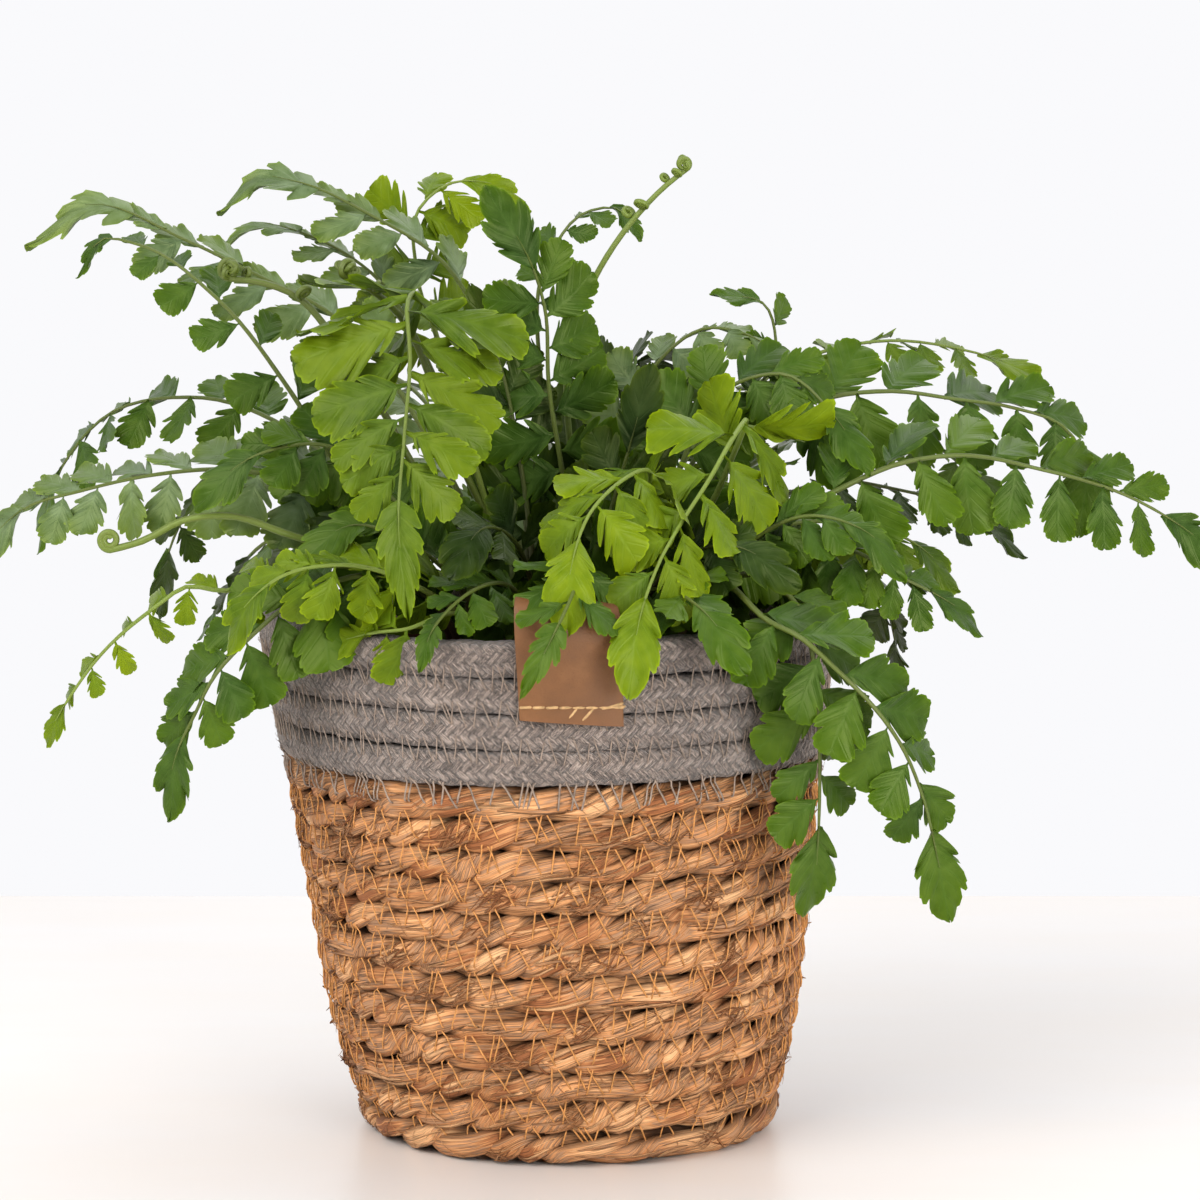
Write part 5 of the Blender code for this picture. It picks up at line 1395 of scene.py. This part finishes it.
def leaf_finish(name, colour, painted_sheen_colour, gloss_and_painted_sheen):
    """A leaflet with a midrib, a vein down each tooth, a yellower margin and a paler underside, and with a
    painted sheen of pale grey-green in its middle, by a share that also raises its specular level."""
    finish = Finish(f"leaf_{name}", 0.4, Specular_IOR_Level=0.2 + 0.4 * gloss_and_painted_sheen,
                    Specular_Tint=(0.85, 0.95, 0.45, 1.0))
    shade, outer, below = finish.marks()
    place = finish.place()
    split = finish.add("ShaderNodeSeparateXYZ", finish.along())
    tooth, across = split.outputs[0], finish.math("ABSOLUTE", split.outputs[1])
    off_vein = finish.math("ABSOLUTE", finish.math("SUBTRACT", finish.math("FRACT", tooth), 0.5))
    vein = finish.math("MULTIPLY", finish.stretch(off_vein, 0.0, 0.13, 1.0, 0.0),
                       finish.stretch(across, 0.85, 1.0, 1.0, 0.0))
    midrib = finish.stretch(across, 0.03, 0.13, 1.0, 0.0)
    vein = finish.math("MAXIMUM", vein, midrib)
    cloud = finish.noise(place, 260.0, 3.0)
    warm = (1.45 * colour[0] + 0.014, 1.3 * colour[1] + 0.015, 0.7 * colour[2])
    cool = (0.5 * colour[0], 0.62 * colour[1], 1.3 * colour[2])
    mood = finish.math("ADD", shade, finish.stretch(cloud, 0.3, 0.7, -0.2, 0.2), clamp=True)
    blade = finish.ramp(mood, (0.1, cool), (0.5, colour), (0.95, warm))
    blade = finish.mix(finish.math("MULTIPLY", finish.math("POWER", outer, 2.0), 0.6), blade, warm)
    light = tuple(1.4 * c + 0.012 for c in colour)
    blade = finish.mix(finish.math("MULTIPLY", vein, 0.2), blade, light)
    grey_under = tuple(0.7 * c + 0.3 * g for c, g in zip(colour, (0.13, 0.18, 0.06)))
    blade = finish.mix(finish.math("MULTIPLY", below, 0.6), blade, grey_under)
    blade = finish.mix(finish.stretch(across, 0.9, 0.97, 0.0, 0.55), blade, times(1.5, warm))
    # Painted sheen: a pale colour mixed into the leaflet's middle, by its share and patchy with the cloud
    painted_sheen_mask = finish.math("MULTIPLY", finish.stretch(outer, 0.1, 0.9, 1.0, 0.2), gloss_and_painted_sheen)
    painted_sheen_mask = finish.math("MULTIPLY", painted_sheen_mask, finish.stretch(cloud, 0.35, 0.65, 0.6, 1.3))
    blade = finish.mix(painted_sheen_mask, blade, painted_sheen_colour)
    height = finish.math("SUBTRACT", finish.math("MULTIPLY", cloud, 0.8), vein)
    rough = finish.stretch(cloud, 0.3, 0.7, 0.26, 0.42)
    return finish.done(blade, height, 0.05 * MM, rough)


def stem_finish(settings):
    """A stalk that is brown at the soil and green above, with lengthwise lines."""
    finish = Finish("frond_stalk", 0.45, Specular_IOR_Level=0.45)
    height, tone, _ = finish.marks()
    lines = finish.noise(finish.scaled(finish.along(), (60, 4, 1)), 1.0, 2.0)
    green = finish.mix(tone, times(0.45, settings.stem), times(1.7, settings.stem))
    colour = finish.mix(finish.stretch(height, 0.0, 1.0, 1.0, 0.0), green, settings.stem_foot)
    colour = finish.mix(finish.stretch(lines, 0.45, 0.7, 0.0, 0.35), colour, (0.10, 0.055, 0.02))
    return finish.done(colour, lines, 0.1 * MM)


def stalk(stem, end, fade, tone, coil, rings=44, sides=7):
    """The frond's stalk: a round section along the stem, whose radius falls with the distance left to the
    power 1.2, and over the last stretch to a quarter. A coiled one falls to the coil's half thickness, with
    the power 0.6."""
    if coil:
        turns = stem.reached[-COIL_SAMPLES:]
        distance = np.concatenate([np.linspace(0, turns[0], rings)[:-1], turns])
        thick = coil + (STEM_BASE_RADIUS - coil) * (1 - distance / stem.length) ** 0.6
    else:
        distance = np.linspace(0, end, rings)
        thick = STEM_TIP_RADIUS + (STEM_BASE_RADIUS - STEM_TIP_RADIUS) * (1 - distance / end) ** 1.2
        thick = thick * np.clip((end - distance) / fade, 0.25, 1)
    points, _, up, _ = stem.at(distance)
    radius = thick * (1 + 0.03 * np.sin(distance * 900))
    skin = swept(points[None], up[None], ellipse(sides, radius[None], 1.1 * radius[None]))
    green = np.clip((distance - 0.02) / 0.03, 0, 1)[:, None]
    values = four(green, tone + 0 * green + np.zeros(sides), 0.0, 1.0)
    maps = np.stack(np.broadcast_arrays(distance[:, None], np.arange(sides) + 0.0), axis=-1).reshape(-1, 2)
    return skin.reshape(-1, 3), tube_faces(1, len(distance), sides), values, maps


def buds(stem, distances, sides, sizes, tone):
    """Curled buds on short stalks: a spiral of one and a half turns that closes in to a third of its
    width."""
    point, ahead, up, right = stem.at(distances)
    sides, sizes = sides[:, None], sizes[:, None]
    axis = unit(0.8 * sides * right + 0.6 * ahead)
    inward = unit(np.cross(np.cross(axis, up), axis) * 0.2 - ahead * 0.2 + up)
    straight_part = np.array([0.0, 0.3, 0.65])[None, :, None]
    t = np.linspace(0, 1, 22)[None, :, None]
    turn = FULL_TURN * 1.5 * t
    radius = sizes[:, None] * (1 - 0.66 * t)
    reach = axis * sizes * 1.2
    centre = (point + reach + inward * sizes)[:, None]
    curl = centre + radius * (axis[:, None] * np.sin(turn) - inward[:, None] * np.cos(turn))
    paths = np.concatenate([point[:, None] + reach[:, None] * straight_part, curl], axis=1)
    side_up = np.broadcast_to(np.cross(axis, inward)[:, None], paths.shape)
    thick = sizes * np.concatenate([np.full(straight_part.size, 0.26), np.linspace(0.30, 0.44, t.size)])
    points = swept(paths, side_up, ellipse(6, 1.25 * thick, thick))
    faces = tube_faces(*points.shape[:3])
    points = points.reshape(-1, 3)
    return points, faces, four(np.ones(len(points)), tone, 0.0, 1.0), np.zeros((len(points), 2))


def joined(parts):
    """Points, faces, values and UV places of several shapes as one, and the number of each face's shape."""
    sizes = [len(part[0]) for part in parts]
    firsts = np.cumsum(sizes) - sizes
    faces = [np.where(part[1] < 0, -1, part[1] + first) for part, first in zip(parts, firsts)]
    owner = np.concatenate([np.full(len(part[1]), number) for number, part in enumerate(parts)])
    points, _, values, maps = zip(*parts)
    return np.concatenate(points), np.concatenate(faces), np.concatenate(values), np.concatenate(maps), owner


def ranks(frond, stem, leaf, reach, settings, chance):
    """A frond's leaflets in two uneven ranks along its stem, as far as they reach.

    Each stands out to its side, turned towards the tip by its cut's lean and more further out and where it
    climbs, falls by the droop and the weight, and rolls a little about its own midrib."""
    cut = CUTS[frond.cut]
    first = frond.bare * stem.length
    number = np.arange(2 * frond.pairs)
    side = np.where(number % 2, 1.0, -1.0)
    share = (number // 2 + 0.5 * (number % 2) + chance.uniform(-0.08, 0.08, len(number))) / frond.pairs
    distance = first + (reach - first) * (share + 0.25 * share * (1 - share))
    length = leaf * np.minimum(1, 0.9 + share) * (1 - cut.taper * share)
    length = length * chance.uniform(0.88, 1.1, len(number))
    point, ahead, up, right = stem.at(distance)
    sideways = side[:, None] * right
    climb = sideways[:, 2]
    forward = cut.lean + 0.5 * share**2 + np.where(climb > 0, 0.5, 0.15) * climb
    forward = (settings.forward * forward + chance.normal(0, 0.09, len(number)))[:, None]
    droop = (settings.droop + chance.normal(0, 0.14, len(number)))[:, None]
    axis = np.cos(forward) * sideways + np.sin(forward) * ahead
    axis = unit(np.cos(droop) * axis - np.sin(droop) * up - (0, 0, settings.weight))
    roll = chance.normal(0, 0.22, len(number))[:, None]
    normal = unit(up - axis * (axis * up).sum(axis=-1, keepdims=True))
    normal = unit(normal * np.cos(roll) + np.cross(axis, normal) * np.sin(roll))
    root = point + 0.3 * MM * sideways
    return leaflets(cut, root, axis, normal, length, side, settings.thickness, chance)


def frond_shape(frond, settings, chance):
    """A frond's stalk with its ranks of leaflets and the one at its tip, or its coil with buds."""
    stem = Stem(frond)
    tone = {"deep": 0.1, "green": 0.35, "silver": 0.35, "pale": 0.7, "lime": 1.0}[frond.tone]
    if frond.coil:
        parts = [stalk(stem, stem.length, MM, tone, COIL_THICK * frond.leaf_mm * MM)]
        if frond.name in BUDS:
            share, sides, sizes = np.array(BUDS[frond.name]).T
            parts.append(buds(stem, share * stem.length, sides, sizes * MM, tone))
        return parts
    long, tip_cut = CUTS[frond.cut].last
    leaf = frond.leaf_mm * MM * settings.outgrow
    tip = long * leaf
    tip_root = stem.length + 0.15 * leaf - tip
    return [stalk(stem, tip_root + 0.4 * tip, 0.45 * tip, tone, 0),
            ranks(frond, stem, leaf, tip_root - 0.12 * tip, settings, chance),
            last_leaflet(CUTS[tip_cut], stem, tip_root, tip, settings.thickness, chance)]


class FERN_OT_fronds(Operator):
    """Grows the fronds, each from its own stalk in the soil"""
    bl_idname = "fern.fronds"
    bl_label = "Grow the Fronds"

    def execute(self, context):
        settings = context.scene.fern_leaves
        stalks = stem_finish(settings)
        # Share of painted sheen for each tone, which also raises its specular level
        gloss_and_painted_sheen = {"deep": 0.05, "green": 0.07, "silver": 0.45, "pale": 0.05, "lime": 0.02}
        tones = {tone: leaf_finish(tone, tuple(getattr(settings, tone)), tuple(settings.painted_sheen_colour), share)
                 for tone, share in gloss_and_painted_sheen.items()}
        for number, frond in enumerate(FRONDS):
            chance = np.random.default_rng(FIRST_FROND_SEED + number)
            points, faces, values, maps, owner = joined(frond_shape(frond, settings, chance))
            name = f"{frond.name}_coil" if frond.coil else f"{frond.name}_leaves"
            piece = make_piece(name, points, faces, [stalks, tones[frond.tone]], values, maps,
                               finish_of=np.where(owner > 0, not frond.coil, 0), sharp=math.radians(75))
            settle(piece, f"leaf_{frond.tone}", *([frond.name] if frond.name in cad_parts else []))
        return {"FINISHED"}


class FERN_OT_stage(Operator):
    """Sets the table, the light and the camera"""
    bl_idname = "fern.stage"
    bl_label = "Set the Stage"
    TABLE_FRONT, TABLE_HALF_LENGTH, TABLE_THICK, TABLE_ROUND = -2.2, 1.8, 0.05, 0.012
    LAMPS = (
        ("window", (-1.1, -1.2, 1.3), (0, 0, 0.13), 1.5, 33.0, (1.0, 0.98, 0.95)),
        ("back_window", (0.5, 0.9, 1.6), (0, 0, 0.17), 1.5, 9.0, (0.97, 0.98, 1.0)),
        ("front_card", (0.8, -1.4, 0.42), (0, 0, 0.06), 0.9, 19.0, (1.0, 0.97, 0.93)),
    )  # name, place, aim, width, watts and colour

    def execute(self, context):
        settings = context.scene.fern_stage
        self.table(settings)
        self.light(context.scene, settings)
        self.camera(context.scene, settings)
        context.scene.view_settings.view_transform = "Standard"
        return {"FINISHED"}

    def table(self, settings):
        """A slab whose far edge is rounded, with a profile of (distance behind, height) along X."""
        bend = np.linspace(0.5 * math.pi, 0, 9)
        edge, drop = settings.table_edge, self.TABLE_ROUND
        profile = [(edge - drop + drop * math.cos(b), -drop + drop * math.sin(b)) for b in bend]
        profile = np.array([(self.TABLE_FRONT, -self.TABLE_THICK), (self.TABLE_FRONT, 0.0), *profile,
                            (edge, -self.TABLE_THICK)])
        x = np.array([-1, 1])[:, None] * self.TABLE_HALF_LENGTH
        points = np.stack(np.broadcast_arrays(x, profile[:, 0], profile[:, 1]), axis=-1)
        faces = tube_faces(1, 2, len(profile))[:, ::-1]
        finish = Finish("pale_table", 0.34, Specular_IOR_Level=0.3)
        stain = finish.noise(finish.scaled(finish.place(), (3, 9, 1)), 1.0, 5.0, 0.6)
        warm = tuple(c * f for c, f in zip(settings.table, (1.0, 0.955, 0.90)))
        colour = finish.ramp(stain, (0.35, settings.table), (0.75, warm))
        make_piece("table_top", points, faces, [finish.done(colour)], sharp=math.radians(40))

    def light(self, scene, settings):
        """A white wall behind the plant that dims towards the room in front, and large soft lamps."""
        scene.world = bpy.data.worlds.new("studio")
        scene.world.use_nodes = True
        nodes, links = scene.world.node_tree.nodes, scene.world.node_tree.links
        where, split, fade = (nodes.new(kind) for kind in (
            "ShaderNodeTexCoord", "ShaderNodeSeparateXYZ", "ShaderNodeMapRange"))
        back = nodes["Background"]
        back.inputs["Color"].default_value = (*settings.wall, 1.0)
        links.new(where.outputs["Generated"], split.inputs[0])
        links.new(split.outputs["Y"], fade.inputs["Value"])
        links.new(fade.outputs[0], back.inputs["Strength"])
        for socket, value in (("From Min", -0.5), ("From Max", 0.2), ("To Min", settings.room),
                              ("To Max", 1.0)):
            fade.inputs[socket].default_value = value
        for name, place, aim, size, power, colour in self.LAMPS:
            lamp = bpy.data.lights.new(name, "AREA")
            lamp.size, lamp.energy, lamp.color = size, power, colour
            holder = bpy.data.objects.new(name, lamp)
            holder.location = place
            holder.rotation_euler = (Vector(aim) - Vector(place)).to_track_quat("-Z", "Y").to_euler()
            scene.collection.objects.link(holder)

    def camera(self, scene, settings):
        eye = bpy.data.cameras.new("camera")
        eye.lens, eye.sensor_width, eye.shift_x = settings.lens, 36.0, settings.shift
        eye.clip_start, eye.clip_end = 0.05, 20.0
        holder = bpy.data.objects.new("camera", eye)
        holder.location = (0.0, -settings.distance, settings.height)
        holder.rotation_euler = (0.5 * math.pi - settings.pitch, 0.0, 0.0)
        scene.collection.objects.link(holder)
        scene.camera = holder


class FERN_PT_panel(Panel):
    """Every piece of the fern and its basket, in the order in which they are made"""
    bl_label = "Potted Mother Fern"
    bl_idname = "FERN_PT_panel"
    bl_space_type = "VIEW_3D"
    bl_region_type = "UI"
    bl_category = "Fern"

    def draw(self, context):
        for operator, group in STEPS:
            self.layout.operator(operator.bl_idname)
            if group:
                for name in SETTINGS[group].__annotations__:
                    self.layout.prop(getattr(context.scene, group), name)


SETTINGS = {
    "fern_stage": StageSettings,
    "fern_braid": BraidSettings,
    "fern_thread": ThreadSettings,
    "fern_rope": RopeSettings,
    "fern_tag": TagSettings,
    "fern_pot": PotSettings,
    "fern_leaves": FernSettings,
}
STEPS = (
    (FERN_OT_stage, "fern_stage"),
    (FERN_OT_braid, "fern_braid"),
    (FERN_OT_splinters, None),
    (FERN_OT_gold_thread, "fern_thread"),
    (FERN_OT_rope, "fern_rope"),
    (FERN_OT_grey_thread, None),
    (FERN_OT_fuzz, None),
    (FERN_OT_tag, "fern_tag"),
    (FERN_OT_pot, "fern_pot"),
    (FERN_OT_soil, None),
    (FERN_OT_fronds, "fern_leaves"),
)


def register():
    for kind in (*SETTINGS.values(), *(operator for operator, _ in STEPS), FERN_PT_panel):
        bpy.utils.register_class(kind)
    for name, kind in SETTINGS.items():
        setattr(bpy.types.Scene, name, PointerProperty(type=kind))


def unregister():
    for name in SETTINGS:
        delattr(bpy.types.Scene, name)
    for kind in (FERN_PT_panel, *(operator for operator, _ in reversed(STEPS)), *SETTINGS.values()):
        bpy.utils.unregister_class(kind)


def main():
    register()
    for operator, _ in STEPS:
        group, name = operator.bl_idname.split(".")
        getattr(getattr(bpy.ops, group), name)()


if __name__ == "__main__":
    main()
